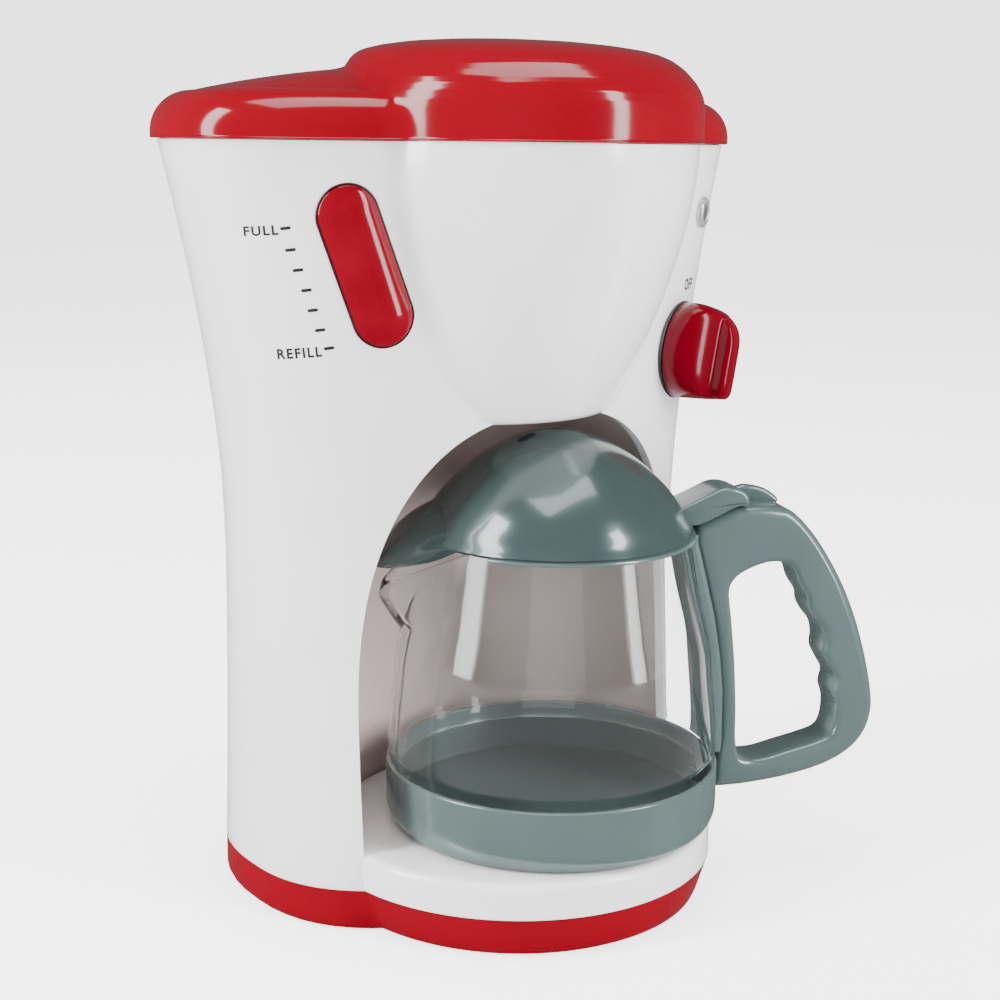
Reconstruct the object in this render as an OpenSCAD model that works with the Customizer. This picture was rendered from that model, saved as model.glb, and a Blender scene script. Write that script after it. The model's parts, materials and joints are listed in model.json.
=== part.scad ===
// Toy drip coffee maker with a lift-up lid, a dial, a water gauge and a jug that stands in its recess.
// Origin: on the ground, on the axis of the round foot. +Z up, -Y is the front, +X the right hand side.

/* [Body] */
// Half width of the body at its foot
base_half_w = 66.5; // [64:0.5:70]
// Half width of the body at its waist
waist_half_w = 65.5; // [64:0.5:69]
// Half width of the body under the lid
top_half_w = 82.5; // [78:0.5:86]
// Distance from the foot axis to the body's front face, at the foot
base_front = 19.5; // [18:0.5:23]
// The same distance at the waist and above
waist_front = 12; // [11:0.5:13]
// Distance from the foot axis to the body's back face, at the foot
base_back = 77; // [75:0.5:80]
// The same distance at the waist
waist_back = 73; // [72:0.5:76]
// The same distance under the lid
top_back = 76; // [75:0.5:79]
// Height of the waist
waist_z = 95; // [85:1:105]
// Height of the body's top edge
body_top = 196; // [192:0.5:202]
// Wall thickness of the moulded shells
wall = 2.4; // [2:0.1:2.8]
// Height of the red base pan, up to its seam with the body
seam_z = 10.7; // [10:0.1:12]
// Radius of the round foot at the seam
foot_r = 52.5; // [51.5:0.25:54]
// Height of the plate that the jug stands on
plate_z = 20; // [19:0.25:22]
// Plane where the front and rear shells meet
split_y = 50; // [48:0.5:53]

/* [Brew funnel] */
// Height of the funnel's underside
funnel_z = 127.3; // [126.5:0.1:129]
// Radius of the funnel's underside
funnel_low_r = 34; // [32.5:0.5:35]
// Radius of the funnel at the body's top edge
funnel_top_r = 45; // [43:0.5:47]
// Offset of the funnel's underside behind the foot axis
funnel_low_y = 17; // [15.5:0.5:17.5]
// Offset of the funnel's top behind the foot axis
funnel_top_y = 1.5; // [0:0.5:3]

/* [Jug recess] */
// Radius of the recess
recess_r = 52; // [50:0.5:53]
// Offset of the recess axis in front of the foot axis
recess_front = 8; // [6:0.5:9]
// Height where the recess starts to close in
recess_spring_z = 40; // [35:1:45]
// Wall of the recess liner
liner_wall = 2; // [1.5:0.1:2.4]

/* [Lid] */
// How far the lid reaches past the body
lid_overhang = 2; // [1:0.25:3]
// Height of the lid's upright rim
lid_rim_h = 9.5; // [8:0.25:11]
// Height of the crown's edge above the body
lid_edge_h = 13.2; // [12:0.2:14.5]
// Height of the crown's middle above the body
lid_crown_h = 20.5; // [18:0.25:22]
// Height of the front dome above the body
dome_h = 26.5; // [24:0.25:28]
// Wall of the lid
lid_wall = 2.2; // [1.8:0.1:2.6]
// Radius of the lid's hinge pin
lid_pin_r = 1.5; // [1.25:0.05:1.75]
// Length of the lid's hinge pin
lid_pin_len = 46; // [40:1:54]

/* [Dial] */
// Distance of the dial's axis to the right of the middle
dial_x = 53; // [50:0.5:55]
// Height of the dial's axis
dial_z = 141; // [139:0.5:146]
// Turn of the dial's axis towards the right hand side
dial_az = 23; // [18:1:28]
// Radius of the dial
dial_r = 13.2; // [12:0.2:14]
// Reach of the grip from the dial's back
dial_reach = 17; // [14:0.5:19]
// Width of the grip
grip_w = 7; // [5.5:0.25:8.5]
// Turn of the grip from upright when the dial points to OFF
off_turn = 12; // [8:1:16]
// Radius of the dial's shaft
shaft_r = 3; // [2.5:0.1:3.4]

/* [Gauge and lamp] */
// Distance of the gauge to the left of the middle
gauge_x = 50.8; // [49:0.2:52]
// Height of the gauge's middle
gauge_z = 167.4; // [164:0.5:169]
// Width of the gauge window
gauge_w = 15.3; // [13:0.3:17]
// Length of the gauge window
gauge_len = 40.4; // [36:0.5:43]
// Slant of the gauge window from upright
gauge_slant = 20; // [15:1:24]
// Turn of the gauge window towards the left hand side
gauge_az = 21; // [17:1:25]
// Distance of the lamp to the right of the middle
lamp_x = 61; // [58:0.5:63]
// Height of the lamp
lamp_z = 178; // [175:0.5:181]
// Radius of the lamp's lens
lamp_r = 2.6; // [2.2:0.1:3]

/* [Jug] */
// Radius of the jug's base cup
cup_r = 44; // [43:0.25:45]
// Height of the jug's base cup
cup_h = 16.4; // [14:0.2:18]
// Largest radius of the jug's clear body
jug_r = 43.6; // [42.8:0.1:43.8]
// Radius of the jug's mouth
mouth_r = 34.6; // [33:0.1:35]
// Height of the jug's mouth above the plate
mouth_h = 77.5; // [76:0.5:78]
// Height of the band round the mouth
collar_h = 2.2; // [1.8:0.2:3]
// Width of the strap under the handle
strap_w = 18.5; // [17:0.5:24]
// Width of the thumb lever
lever_w = 14; // [12:0.5:16]
// Wall of the jug's clear body
glass_wall = 1.6; // [1.2:0.1:2]
// Rise of the jug lid above the mouth
jug_lid_h = 26.6; // [25:0.2:27]
// Wall of the jug lid
jug_lid_wall = 1.8; // [1.4:0.1:2.2]
// Reach of the spout from the jug's axis
spout_reach = 46; // [44:0.5:47]
// Position of the jug's axis to the right of the foot axis
jug_x = 5.2; // [3:0.2:6]
// Position of the jug's axis in front of the foot axis
jug_front = 8.7; // [8:0.1:10]
// Direction of the handle, clockwise from the right hand side
handle_az = 25; // [22:0.5:28]
// Width of the handle
handle_w = 13.5; // [12:0.5:15]

/* [Fasteners] */
// Radius of a screw shank
screw_r = 1.4; // [1.2:0.05:1.6]
// Radius of a screw head
screw_head_r = 2.7; // [2.4:0.1:3]

/* [Hidden] */

// Colours
body_white = [0.94, 0.94, 0.93];
trim_red = [0.78, 0.08, 0.12];
slate = [0.45, 0.53, 0.53];
liner_grey = [0.60, 0.56, 0.55];
steel = [0.70, 0.71, 0.73];

// Clearances
gap = 0.2;           // between pieces of one body
slide_fit = 0.05;    // radial clearance of a pin or shaft that turns
screw_fit = 0.15;    // radial clearance of a screw in its hole

$fn = 48;
squareness = 2.4;    // exponent of the body's oval plan
flare_power = 1.6;   // how late the body widens above its waist
centre_y = 25;       // widest line of the body's plan
arc_n = 30;          // segments of a half plan
lean = 3.5;          // downward lean of the front panels
levels = [0, 0.12, 0.27, 0.42, 0.55, 0.66, 0.76, 0.85, 0.93, 1];

// ---------- plan of the body ----------
function flare(z, low, mid, high) =
    z < waist_z ? mid + (low - mid) * pow((waist_z - z) / waist_z, 2)
                : mid + (high - mid) * pow((z - waist_z) / (body_top - waist_z), flare_power);
function half_w(z) = flare(z, base_half_w, waist_half_w, top_half_w);
function front_d(z) = flare(z, base_front, waist_front, waist_front) + centre_y;
function back_d(z) = flare(z, base_back, waist_back, top_back) - centre_y;
function spow(c) = sign(c) * pow(abs(c), 2 / squareness);
function plan_point(z, t, inset) =
    [(half_w(z) - inset) * spow(cos(t)),
     centre_y + ((sin(t) > 0 ? back_d(z) : front_d(z)) - inset) * spow(sin(t)), z];
// Angle at which the plan crosses the split plane
function split_t(z, inset) =
    asin(pow((split_y - centre_y) / (back_d(z) - inset), squareness / 2));
function front_arc(z, inset) =
    let (s = split_t(z, inset)) [for (i = [0:arc_n]) plan_point(z, -180 - s + i * (180 + 2 * s) / arc_n, inset)];
function back_arc(z, inset) =
    let (s = split_t(z, inset)) [for (i = [0:arc_n]) plan_point(z, s + i * (180 - 2 * s) / arc_n, inset)];
function full_ring(z, inset) = [for (i = [0:2 * arc_n - 1]) plan_point(z, i * 180 / arc_n, inset)];
function flat(ring) = [for (p = ring) [p[0], p[1]]];
// Front face of the body at a place x, z
function front_y(x, z) =
    centre_y - front_d(z) * pow(1 - pow(abs(x) / half_w(z), squareness), 1 / squareness);
// Inner face of the side wall at the split plane
function split_x(z) = plan_point(z, split_t(z, wall), wall)[0];

// ---------- solids from rings ----------
function joined(rings) = [for (r = rings) for (p = r) p];
function closed_sides(levels_n, n) =
    [for (k = [0:levels_n - 2]) for (i = [0:n - 1]) let (a = k * n + i, b = k * n + (i + 1) % n)
        each [[a, a + n, b + n], [a, b + n, b]]];
// A solid through closed rings, listed from the bottom, each counter-clockwise from above
module loft(rings) {
    n = len(rings[0]);
    m = len(rings);
    polyhedron(joined(rings), concat(closed_sides(m, n),
        [[for (i = [0:n - 1]) i]], [[for (i = [n - 1:-1:0]) (m - 1) * n + i]]));
}
// An open wall between two grids of points, such as half of a shell
module wall_between(outer, inner) {
    n = len(outer[0]);
    m = len(outer);
    o = m * n;
    sides = [for (k = [0:m - 2]) for (i = [0:n - 2]) let (a = k * n + i)
        each [[a, a + n, a + n + 1], [a, a + n + 1, a + 1],
              [o + a, o + a + n + 1, o + a + n], [o + a, o + a + 1, o + a + n + 1]]];
    ends = [for (k = [0:m - 2]) let (a = k * n, b = a + n - 1)
        each [[o + a, o + a + n, a + n, a], [b, b + n, o + b + n, o + b]]];
    rims = [for (i = [0:n - 2]) let (t = (m - 1) * n + i)
        each [[i, i + 1, o + i + 1, o + i], [t, o + t, o + t + 1, t + 1]]];
    polyhedron(concat(joined(outer), joined(inner)), concat(sides, ends, rims));
}
// Smooth curve through the given points, as a Catmull-Rom spline
function spline_point(a, b, c, d, t) =
    0.5 * (2 * b + (c - a) * t + (2 * a - 5 * b + 4 * c - d) * t * t + (3 * b - a - 3 * c + d) * t * t * t);
function smooth(p, steps) =
    concat([for (i = [0:len(p) - 2]) for (s = [0:steps - 1])
        spline_point(p[max(i - 1, 0)], p[i], p[i + 1], p[min(i + 2, len(p) - 1)], s / steps)], [p[len(p) - 1]]);
function shift(points, by) = [for (p = points) p + by];

// ---------- places ----------
module at_dial() translate([dial_x, front_y(dial_x, dial_z), dial_z]) rotate([90 + lean, 0, dial_az]) children();
module at_gauge()
    translate([-gauge_x, front_y(gauge_x, gauge_z), gauge_z])
        rotate([90 + lean, 0, -gauge_az]) rotate([0, 0, gauge_slant]) children();
lamp_az = 32;
module at_lamp() translate([lamp_x, front_y(lamp_x, lamp_z), lamp_z]) rotate([90 + lean, 0, lamp_az]) children();
module at_jug() translate([jug_x, -jug_front, plate_z]) rotate([0, 0, -handle_az]) children();

// ---------- shared solids ----------
function body_z(k) = seam_z + (body_top - seam_z) * k;
module body_solid(inset, low, high, steps)
    loft([for (k = [0:steps]) let (z = low + (high - low) * k / steps) full_ring(z, inset)]);
// Brew funnel: circles that move back and close in towards the underside
function funnel_t(z) = min(max((z - funnel_z) / (body_top - funnel_z), 0), 1);
function funnel_y(z) = funnel_top_y + (funnel_low_y - funnel_top_y) * pow(1 - funnel_t(z), 1.7);
function funnel_r(z) = funnel_low_r + (funnel_top_r - funnel_low_r) * (1 - pow(1 - funnel_t(z), 1.7));
function circle_ring(z, y, r, n) = [for (i = [0:n - 1]) [r * cos(i * 360 / n), y + r * sin(i * 360 / n), z]];
module funnel_solid(grow, low, high, n = 56, steps = [0, 0.03, 0.12, 0.24, 0.38, 0.54, 0.72, 1])
    loft(concat([circle_ring(low, funnel_y(low), funnel_r(low) + grow - 1.6, n)],
        [for (k = steps) let (z = low + 1.4 + (high - low - 1.4) * k)
            circle_ring(z, funnel_y(z), funnel_r(z) + grow, n)]));
// Jug recess: a vertical bore that closes in above its spring line
recess_top = funnel_z;
recess_apex = funnel_z + 2.2;
function recess_rad(z) =
    z < recess_spring_z + 10 ? recess_r
        : recess_r * pow(1 - pow((z - recess_spring_z - 10) / (recess_apex - recess_spring_z - 10), 2.6), 1 / 2.6);
recess_levels = [0, 0.2, 0.36, 0.5, 0.62, 0.73, 0.82, 0.89, 0.94, 0.975, 1];
function recess_curve(grow) = [for (k = recess_levels)
    let (z = recess_spring_z + 10 + (recess_top - recess_spring_z - 10) * k) [recess_rad(z) + grow, z]];
module recess_solid(low)
    translate([0, -recess_front, 0]) rotate_extrude($fn = 96)
        polygon(concat([[0, low], [recess_r, low]], recess_curve(0), [[0, recess_top]]));

// A screw with a flat head: head from z = 0 up, shank on above it
module screw(len, head = 1.6) {
    difference() {
        cylinder(r = screw_head_r, h = head);
        translate([-0.4, -screw_head_r, -0.1]) cube([0.8, 2 * screw_head_r, 0.7]);
    }
    translate([0, 0, head - 0.01]) cylinder(r = screw_r, h = len);
}
module pill(r, len, low, high)
    translate([0, 0, low]) {
        for (s = [-1, 1]) translate([0, s * (len / 2 - r), 0]) cylinder(r = r, h = high - low);
        translate([-r, -(len / 2 - r), 0]) cube([2 * r, len - 2 * r, high - low]);
    }

// ---------- base ----------
battery_x = 26;
battery_y0 = 32;
battery_y1 = 66;
battery_roof = 14.2;
cell_r = 5.25;
cell_len = 44.5;
door_screw_y = 26.5;
front_post = [30, -28];
rear_post = [44, 58];
speaker_y = -12;
speaker_r = 14;
function base_posts() = [for (s = [-1, 1]) each [[s * front_post[0], front_post[1]], [s * rear_post[0], rear_post[1]]]];

module base_pan() color(trim_red) difference() {
    union() {
        difference() {
            union() {
                loft([full_ring(0, 2), full_ring(0.7, 0.9), full_ring(2, 0.3), full_ring(seam_z, 0)]);
                rotate_extrude($fn = 120) polygon([[0, 0], [foot_r - 4.4, 0], [foot_r - 3.2, 0.7],
                    [foot_r - 2.5, 2.2], [foot_r, seam_z], [0, seam_z]]);
            }
            loft([full_ring(2.4, 2.8), full_ring(seam_z + 1, 2.6)]);
            translate([0, 0, 2.4]) cylinder(r1 = foot_r - 5, r2 = foot_r - 2.6, h = seam_z - 1.4, $fn = 120);
        }
        for (p = base_posts()) translate([p[0], p[1], 1]) cylinder(r = 4.6, h = seam_z - 1.2);
        translate([0, door_screw_y, 2.4]) cylinder(r = 3.6, h = 8);
        // ledge that the battery door closes against
        translate([-battery_x - 4, door_screw_y - 7, 2.3])
            cube([2 * battery_x + 8, battery_y1 - door_screw_y + 11, 1.7]);
        translate([-battery_x - 1.6, battery_y0 - 1.6, 2.3])
            cube([2 * battery_x + 3.2, battery_y1 - battery_y0 + 3.2, battery_roof - 0.9]);
        translate([0, speaker_y, 2.2]) cylinder(r = speaker_r + 1.8, h = 6);
    }
    translate([-battery_x, battery_y0, 2]) cube([2 * battery_x, battery_y1 - battery_y0, battery_roof - 2]);
    translate([-battery_x - 2.2, door_screw_y - 5.2, -1])
        cube([2 * battery_x + 4.4, battery_y1 - door_screw_y + 7.4, 3.4]);
    for (p = base_posts()) translate([p[0], p[1], 0]) {
        translate([0, 0, -1]) cylinder(r = screw_head_r + 0.3, h = 7);
        cylinder(r = screw_r + screw_fit, h = 20);
    }
    translate([0, door_screw_y, 0]) cylinder(r = screw_r + 0.05, h = 9);
    translate([0, speaker_y, 2.4]) cylinder(r = speaker_r + 0.2, h = 8);
    for (a = [0:45:315]) translate([7 * cos(a), speaker_y + 7 * sin(a), -1]) cylinder(r = 1.2, h = 4);
    translate([0, speaker_y, -1]) cylinder(r = 1.2, h = 4);
}

module battery_door() color(trim_red) difference() {
    translate([-battery_x - 2, door_screw_y - 5, 0.2])
        cube([2 * battery_x + 4, battery_y1 - door_screw_y + 7, 2.2]);
    translate([0, door_screw_y, -1]) cylinder(r = screw_r + screw_fit, h = 6);
    translate([0, door_screw_y, -1]) cylinder(r = screw_head_r + 0.3, h = 2.4);
    for (k = [0:4]) translate([-9, battery_y1 - 8 + k * 2, -1]) cube([18, 0.9, 1.6]);
}

module battery_door_screw() color(steel) translate([0, door_screw_y, 0.2]) screw(7, 1.2);

module battery_cells() color([0.16, 0.17, 0.19])
    for (k = [0:2]) translate([0, 38 + 11 * k, 2.6 + cell_r]) rotate([0, k == 1 ? -90 : 90, 0]) {
        translate([0, 0, -cell_len / 2]) cylinder(r = cell_r, h = cell_len - 1.2);
        translate([0, 0, cell_len / 2 - 1.3]) cylinder(r = 1.9, h = 1.3);
    }

module battery_contacts() color(steel) for (s = [-1, 1]) {
    translate([s * (battery_x - 0.4) - 0.4, battery_y0 + 1, 3]) cube([0.8, battery_y1 - battery_y0 - 2, 9]);
    for (k = [0:2]) translate([s * (battery_x - 0.5), 38 + 11 * k, 2.6 + cell_r]) rotate([0, -s * 90, 0])
        cylinder(r1 = 3.4, r2 = 1.5, h = battery_x - 0.5 - cell_len / 2);
}

module base_screws() color(steel)
    for (p = base_posts()) translate([p[0], p[1], 4.4]) screw(9);

module speaker() color([0.2, 0.2, 0.21]) translate([0, speaker_y, 2.4]) {
    cylinder(r = speaker_r, h = 2);
    translate([0, 0, 1.9]) cylinder(r1 = speaker_r, r2 = 7.5, h = 2.1);
    translate([0, 0, 3.9]) cylinder(r = 7.5, h = 3);
}

// ---------- housing ----------
joint_screws = [[-1, 60], [1, 60], [-1, 128], [1, 128]];
function ear_x(z) = split_x(z) - 3.2;

module front_housing() color(body_white) difference() {
    union() {
        wall_between([for (k = levels) front_arc(body_z(k), 0)], [for (k = levels) front_arc(body_z(k), wall)]);
        rotate_extrude($fn = 120) polygon([[foot_r - 2.4, seam_z], [foot_r, seam_z], [foot_r - 0.1, plate_z - 3],
            [foot_r - 0.7, plate_z - 1.4], [foot_r - 2, plate_z - 0.35], [foot_r - 4, plate_z], [0, plate_z],
            [0, plate_z - 2.4], [foot_r - 4.6, plate_z - 2.4], [foot_r - 2.4, plate_z - 4.6]]);
        difference() {
            translate([0, 0, plate_z - 2.4]) cylinder(r = foot_r + 3, h = 2.4, $fn = 120);
            translate([-80, -80, 0]) cube([160, 80, 40]);
        }
        funnel_solid(0, funnel_z, body_top);
        for (s = [-1, 1]) translate([s * front_post[0], front_post[1], seam_z + 0.1])
            cylinder(r = 4.2, h = plate_z - seam_z - 1);
        for (p = joint_screws) translate([p[0] * ear_x(p[1]), split_y - 9, p[1]]) rotate([-90, 0, 0])
            cylinder(r = 4.2, h = 9);
    }
    funnel_solid(-wall, funnel_z + wall, body_top + 1, 44, [0, 0.12, 0.28, 0.5, 0.75, 1]);
    recess_solid(plate_z);
    translate([-100, split_y, 0]) cube([200, 30, 40]);
    // room for the battery box behind the foot
    translate([-52, 12, 0]) cube([104, 60, plate_z - 2.4]);
    for (s = [-1, 1]) translate([s * front_post[0], front_post[1], 0]) cylinder(r = screw_r + 0.05, h = 17);
    for (p = joint_screws) translate([p[0] * ear_x(p[1]), split_y - 8, p[1]]) rotate([-90, 0, 0])
        cylinder(r = screw_r + 0.05, h = 10);
    at_gauge() pill(gauge_w / 2 + 0.2, gauge_len + 0.4, -8, 8);
    at_dial() translate([0, 0, -12]) cylinder(r = 5.1, h = 20);
    at_lamp() translate([0, 0, -8]) cylinder(r = 3.6, h = 16);
    translate([0, 0, funnel_z - 1]) cylinder(r = 3.1, h = 6);
}

module lid_lug(x0, x1) translate([x0, 0, 0]) rotate([90, 0, 90]) linear_extrude(x1 - x0)
    polygon([[top_back - 2, body_top - 18], [top_back + 1, body_top - 17], [lid_axis_y + 3.6, body_top + 3],
        [lid_axis_y, lid_axis_z], [lid_axis_y - 3.4, lid_axis_z], [lid_axis_y - 3.4, body_top - 0.5],
        [top_back - 2, body_top - 0.5]]);

module rear_housing() color(body_white) difference() {
    union() {
        wall_between([for (k = levels) back_arc(body_z(k), 0)], [for (k = levels) back_arc(body_z(k), wall)]);
        intersection() {
            for (p = joint_screws) translate([p[0] * ear_x(p[1]), split_y, p[1]]) rotate([-90, 0, 0])
                cylinder(r = 5.4, h = 20);
            body_solid(0.4, 40, 150, 3);
        }
        for (s = [-1, 1]) {
            translate([s * rear_post[0], rear_post[1], seam_z + 0.1]) cylinder(r = 4.2, h = 14);
            translate([s * rear_post[0] - 1.2, rear_post[1], seam_z + 0.1]) cube([2.4, 8, 14]);
        }
        for (x = [-board_x, board_x], z = [board_z0 + 5, board_z1 - 5])
            translate([x, board_y + 1.6, z]) rotate([-90, 0, 0]) cylinder(r = 3.6, h = 9);
        for (s = [-1, 1]) {
            lid_lug(s * 18 - 4, s * 18 + 4);
            translate([s * 18 - 4, lid_axis_y, lid_axis_z]) rotate([0, 90, 0]) cylinder(r = 3.6, h = 8);
        }
    }
    for (p = joint_screws) translate([p[0] * ear_x(p[1]), split_y - 1, p[1]]) rotate([-90, 0, 0]) {
        cylinder(r = screw_r + screw_fit, h = 30);
        translate([0, 0, 3.5]) cylinder(r = screw_head_r + 0.3, h = 30);
    }
    for (s = [-1, 1]) translate([s * rear_post[0], rear_post[1], 0]) cylinder(r = screw_r + 0.05, h = 22);
    for (x = [-board_x, board_x], z = [board_z0 + 5, board_z1 - 5])
        translate([x, board_y, z]) rotate([-90, 0, 0]) cylinder(r = screw_r + 0.05, h = 7.5);
    translate([-30, lid_axis_y, lid_axis_z]) rotate([0, 90, 0]) cylinder(r = lid_pin_r + 0.02, h = 60);
}

module housing_screws() color(steel)
    for (p = joint_screws) translate([p[0] * ear_x(p[1]), split_y + 4.1, p[1]]) rotate([90, 0, 0]) screw(9.6);

module recess_liner() color(liner_grey) difference() {
    translate([0, -recess_front, 0]) rotate_extrude($fn = 96)
        polygon(concat([[recess_r + 0.3, plate_z], [recess_r + 0.3 + liner_wall, plate_z]],
            [for (p = recess_curve(0)) [p[0] + 0.3 + liner_wall, p[1] + liner_rise(p[1])]],
            [for (i = [len(recess_levels) - 1:-1:0]) let (p = recess_curve(0)[i]) [p[0] + 0.3, p[1]]]));
    translate([0, funnel_low_y, funnel_z - 0.3]) cylinder(r = funnel_low_r + 0.9, h = 8);
    difference() {
        translate([-90, -100, 0]) cube([180, 126, 140]);
        body_solid(wall + 0.25, plate_z - 1, 140, 5);
    }
}
function liner_rise(z) = liner_wall * pow(max((z - recess_spring_z - 10) / (recess_top - recess_spring_z - 10), 0), 3);

module gauge_window() color([0.80, 0.10, 0.14, 0.75]) at_gauge() {
    pill(gauge_w / 2, gauge_len, -3.6, 0.9);
    pill(gauge_w / 2 - 1.1, gauge_len - 2.2, 0.8, 1.7);
}

module indicator_bezel() color([0.35, 0.37, 0.38]) at_lamp() difference() {
    union() {
        translate([0, 0, 0.4]) cylinder(r = lamp_r + 1.65, h = 1.1);
        translate([0, 0, -7]) cylinder(r = 3.5, h = 7.5);
    }
    translate([0, 0, -1.6]) cylinder(r = lamp_r + 0.05, h = 4);
    translate([0, 0, -8]) cylinder(r = 1.6, h = 8);
}
module indicator_lens() color([0.75, 0.12, 0.12, 0.8]) at_lamp() translate([0, 0, -1.6]) {
    cylinder(r = lamp_r, h = 2.4);
    translate([0, 0, 2.3]) cylinder(r1 = lamp_r, r2 = lamp_r - 1.2, h = 0.9);
}
module indicator_led() color([0.9, 0.9, 0.85]) at_lamp() translate([0, 0, -8.2]) {
    cylinder(r = 1.5, h = 6.5);
    for (s = [-1, 1]) translate([s * 0.6 - 0.25, -0.25, -4]) cube([0.5, 0.5, 4.1]);
}

tank_low = 146;
tank_high = 192;
module tank_solid(inset, low, high) difference() {
    intersection() {
        body_solid(wall + 0.2 + inset, low, high, 2);
        translate([-100, -20, low - 1]) cube([126 - inset, 100, high - low + 2]);
    }
    translate([0, 3, low - 1]) cylinder(r = funnel_top_r + 2.4 + inset, h = high - low + 2, $fn = 96);
    // room for the window's flange and the shell screws
    at_gauge() translate([-20, -34, -9 - inset]) cube([60, 68, 30 + inset]);
}
module water_tank() color([0.86, 0.88, 0.88, 0.6]) difference() {
    tank_solid(0, tank_low, tank_high);
    tank_solid(1.6, tank_low + 1.8, tank_high + 1);
}

module drip_nozzle() color([0.2, 0.2, 0.22]) difference() {
    union() {
        translate([0, 0, funnel_z - 1.3]) cylinder(r = 3, h = wall + 1.4);
        translate([0, 0, funnel_z + wall]) cylinder(r = 6, h = 1.6);
    }
    translate([0, 0, funnel_z - 3]) cylinder(r = 1.2, h = 9);
}

board_x = 26;
board_z0 = 66;
board_z1 = 112;
board_y = 58;
module circuit_board() color([0.10, 0.38, 0.22]) difference() {
    union() {
        translate([-board_x - 5, board_y, board_z0]) cube([2 * board_x + 10, 1.6, board_z1 - board_z0]);
        translate([-12, board_y - 2.5, 84]) cube([24, 2.6, 14]);
        for (x = [-18, 18]) translate([x, board_y - 6, 75]) rotate([-90, 0, 0]) cylinder(r = 3, h = 6.1);
    }
    for (x = [-board_x, board_x], z = [board_z0 + 5, board_z1 - 5])
        translate([x, board_y - 1, z]) rotate([-90, 0, 0]) cylinder(r = screw_r + screw_fit, h = 4);
}
module board_screws() color(steel)
    for (x = [-board_x, board_x], z = [board_z0 + 5, board_z1 - 5])
        translate([x, board_y - 1.6, z]) rotate([-90, 0, 0]) screw(7.4);

module rotary_switch() color([0.22, 0.22, 0.24]) at_dial() difference() {
    union() {
        translate([0, 0, -16]) cylinder(r = 8.5, h = 10.5);
        translate([0, 0, -6]) cylinder(r = 5, h = 5.6);
    }
    translate([0, 0, -13]) cylinder(r = shaft_r + slide_fit, h = 20);
}

// ---------- lid ----------
lid_axis_y = top_back + 6;
lid_axis_z = body_top + 3;
lid_z = body_top + gap;
function lid_ring(z, inset, s) =
    [for (p = full_ring(body_top, inset)) [p[0] * s, centre_y + 4 + (p[1] - centre_y - 4) * s, z]];
function crown_z(s) = body_top + lid_edge_h + (lid_crown_h - lid_edge_h) * (1 - pow(s, 2.2));
dome_y = [1.5, 1.5, 1.7, 2.2, 3.3, 4.6, 6.5, 8.6, 10.8, 13, 15.2, 17];
function dome_profile() = [[funnel_top_r + 1, 0], [funnel_top_r + 1, 0.38], [funnel_top_r + 0.3, 0.52],
    [funnel_top_r - 1, 0.64], [funnel_top_r - 2.8, 0.74], [funnel_top_r - 5.4, 0.82], [36, 0.875], [31, 0.912],
    [24.5, 0.946], [17, 0.971], [9, 0.99], [3, 0.9985]];
module lid_dome(inset, low, pick, n)
    loft([for (i = pick) let (p = dome_profile()[i])
        circle_ring(i == 0 ? low : lid_z + (dome_h - gap) * p[1] - inset, dome_y[i], max(p[0] - inset, 1), n)]);
lid_shoulder = [[lid_rim_h / lid_edge_h, 0], [0.85, 0.35], [0.94, 1.1], [0.99, 2.5], [1, 4.4]];
module lid_rear(inset, low, shoulder, crown) loft(concat(
    [lid_ring(low, inset - lid_overhang, 1)],
    [for (i = shoulder) let (p = lid_shoulder[i])
        lid_ring(body_top + lid_edge_h * p[0] - inset, p[1] + inset - lid_overhang, 1)],
    [for (s = crown) lid_ring(crown_z(s) - inset, 2.4 + inset, s)]));
module top_lid() color(trim_red) difference() {
    union() {
        lid_rear(0, lid_z, [0:4], [0.93, 0.8, 0.62, 0.42, 0.15]);
        lid_dome(0, lid_z, [0:11], 56);
        translate([-13.6, lid_axis_y, lid_axis_z]) rotate([0, 90, 0]) cylinder(r = 3.6, h = 27.2);
        translate([-13.6, top_back, lid_z]) cube([27.2, 6, 6.4]);
    }
    difference() {
        union() {
            lid_rear(lid_wall, lid_z - 1, [0, 2, 4], [0.8, 0.5, 0.15]);
            lid_dome(lid_wall, lid_z - 1, [0, 1, 4, 6, 8, 10], 44);
        }
        // seat that rests on the body's edge
        difference() {
            loft([lid_ring(lid_z - 2, 0, 1), lid_ring(lid_z + 2, 0, 1)]);
            loft([lid_ring(lid_z - 3, 2.2, 1), lid_ring(lid_z + 3, 2.2, 1)]);
        }
    }
    translate([-20, lid_axis_y, lid_axis_z]) rotate([0, 90, 0]) cylinder(r = lid_pin_r + slide_fit, h = 40);
}
module lid_hinge_pin() color(steel)
    translate([-lid_pin_len / 2, lid_axis_y, lid_axis_z]) rotate([0, 90, 0]) cylinder(r = lid_pin_r, h = lid_pin_len);

// ---------- dial ----------
function grip_ring(t) = let (w = grip_w / 2 + (dial_r - 0.6 - grip_w / 2) * pow(1 - t, 4),
        up = 2.5 + (dial_r - 3.1) * pow(1 - t * t, 0.5), down = dial_r - 0.6 - 1.4 * t, n = 2 + 5 * t,
        z = 2.4 + (dial_reach - 2.4) * t)
    [for (i = [0:39]) let (c = cos(i * 9), s = sin(i * 9))
        [w * sign(c) * pow(abs(c), 2 / n), (s > 0 ? up : down) * sign(s) * pow(abs(s), 2 / n), z]];
module control_knob() color(trim_red) at_dial() rotate([0, 0, -off_turn]) difference() {
    union() {
        translate([0, 0, 0.9]) cylinder(r = dial_r, h = 1.7, $fn = 72);
        loft([for (t = [0, 0.08, 0.2, 0.34, 0.5, 0.66, 0.8, 0.9, 0.96, 0.995]) grip_ring(t)]);
    }
    translate([0, 0, -1]) cylinder(r = shaft_r, h = 9);
}
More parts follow.
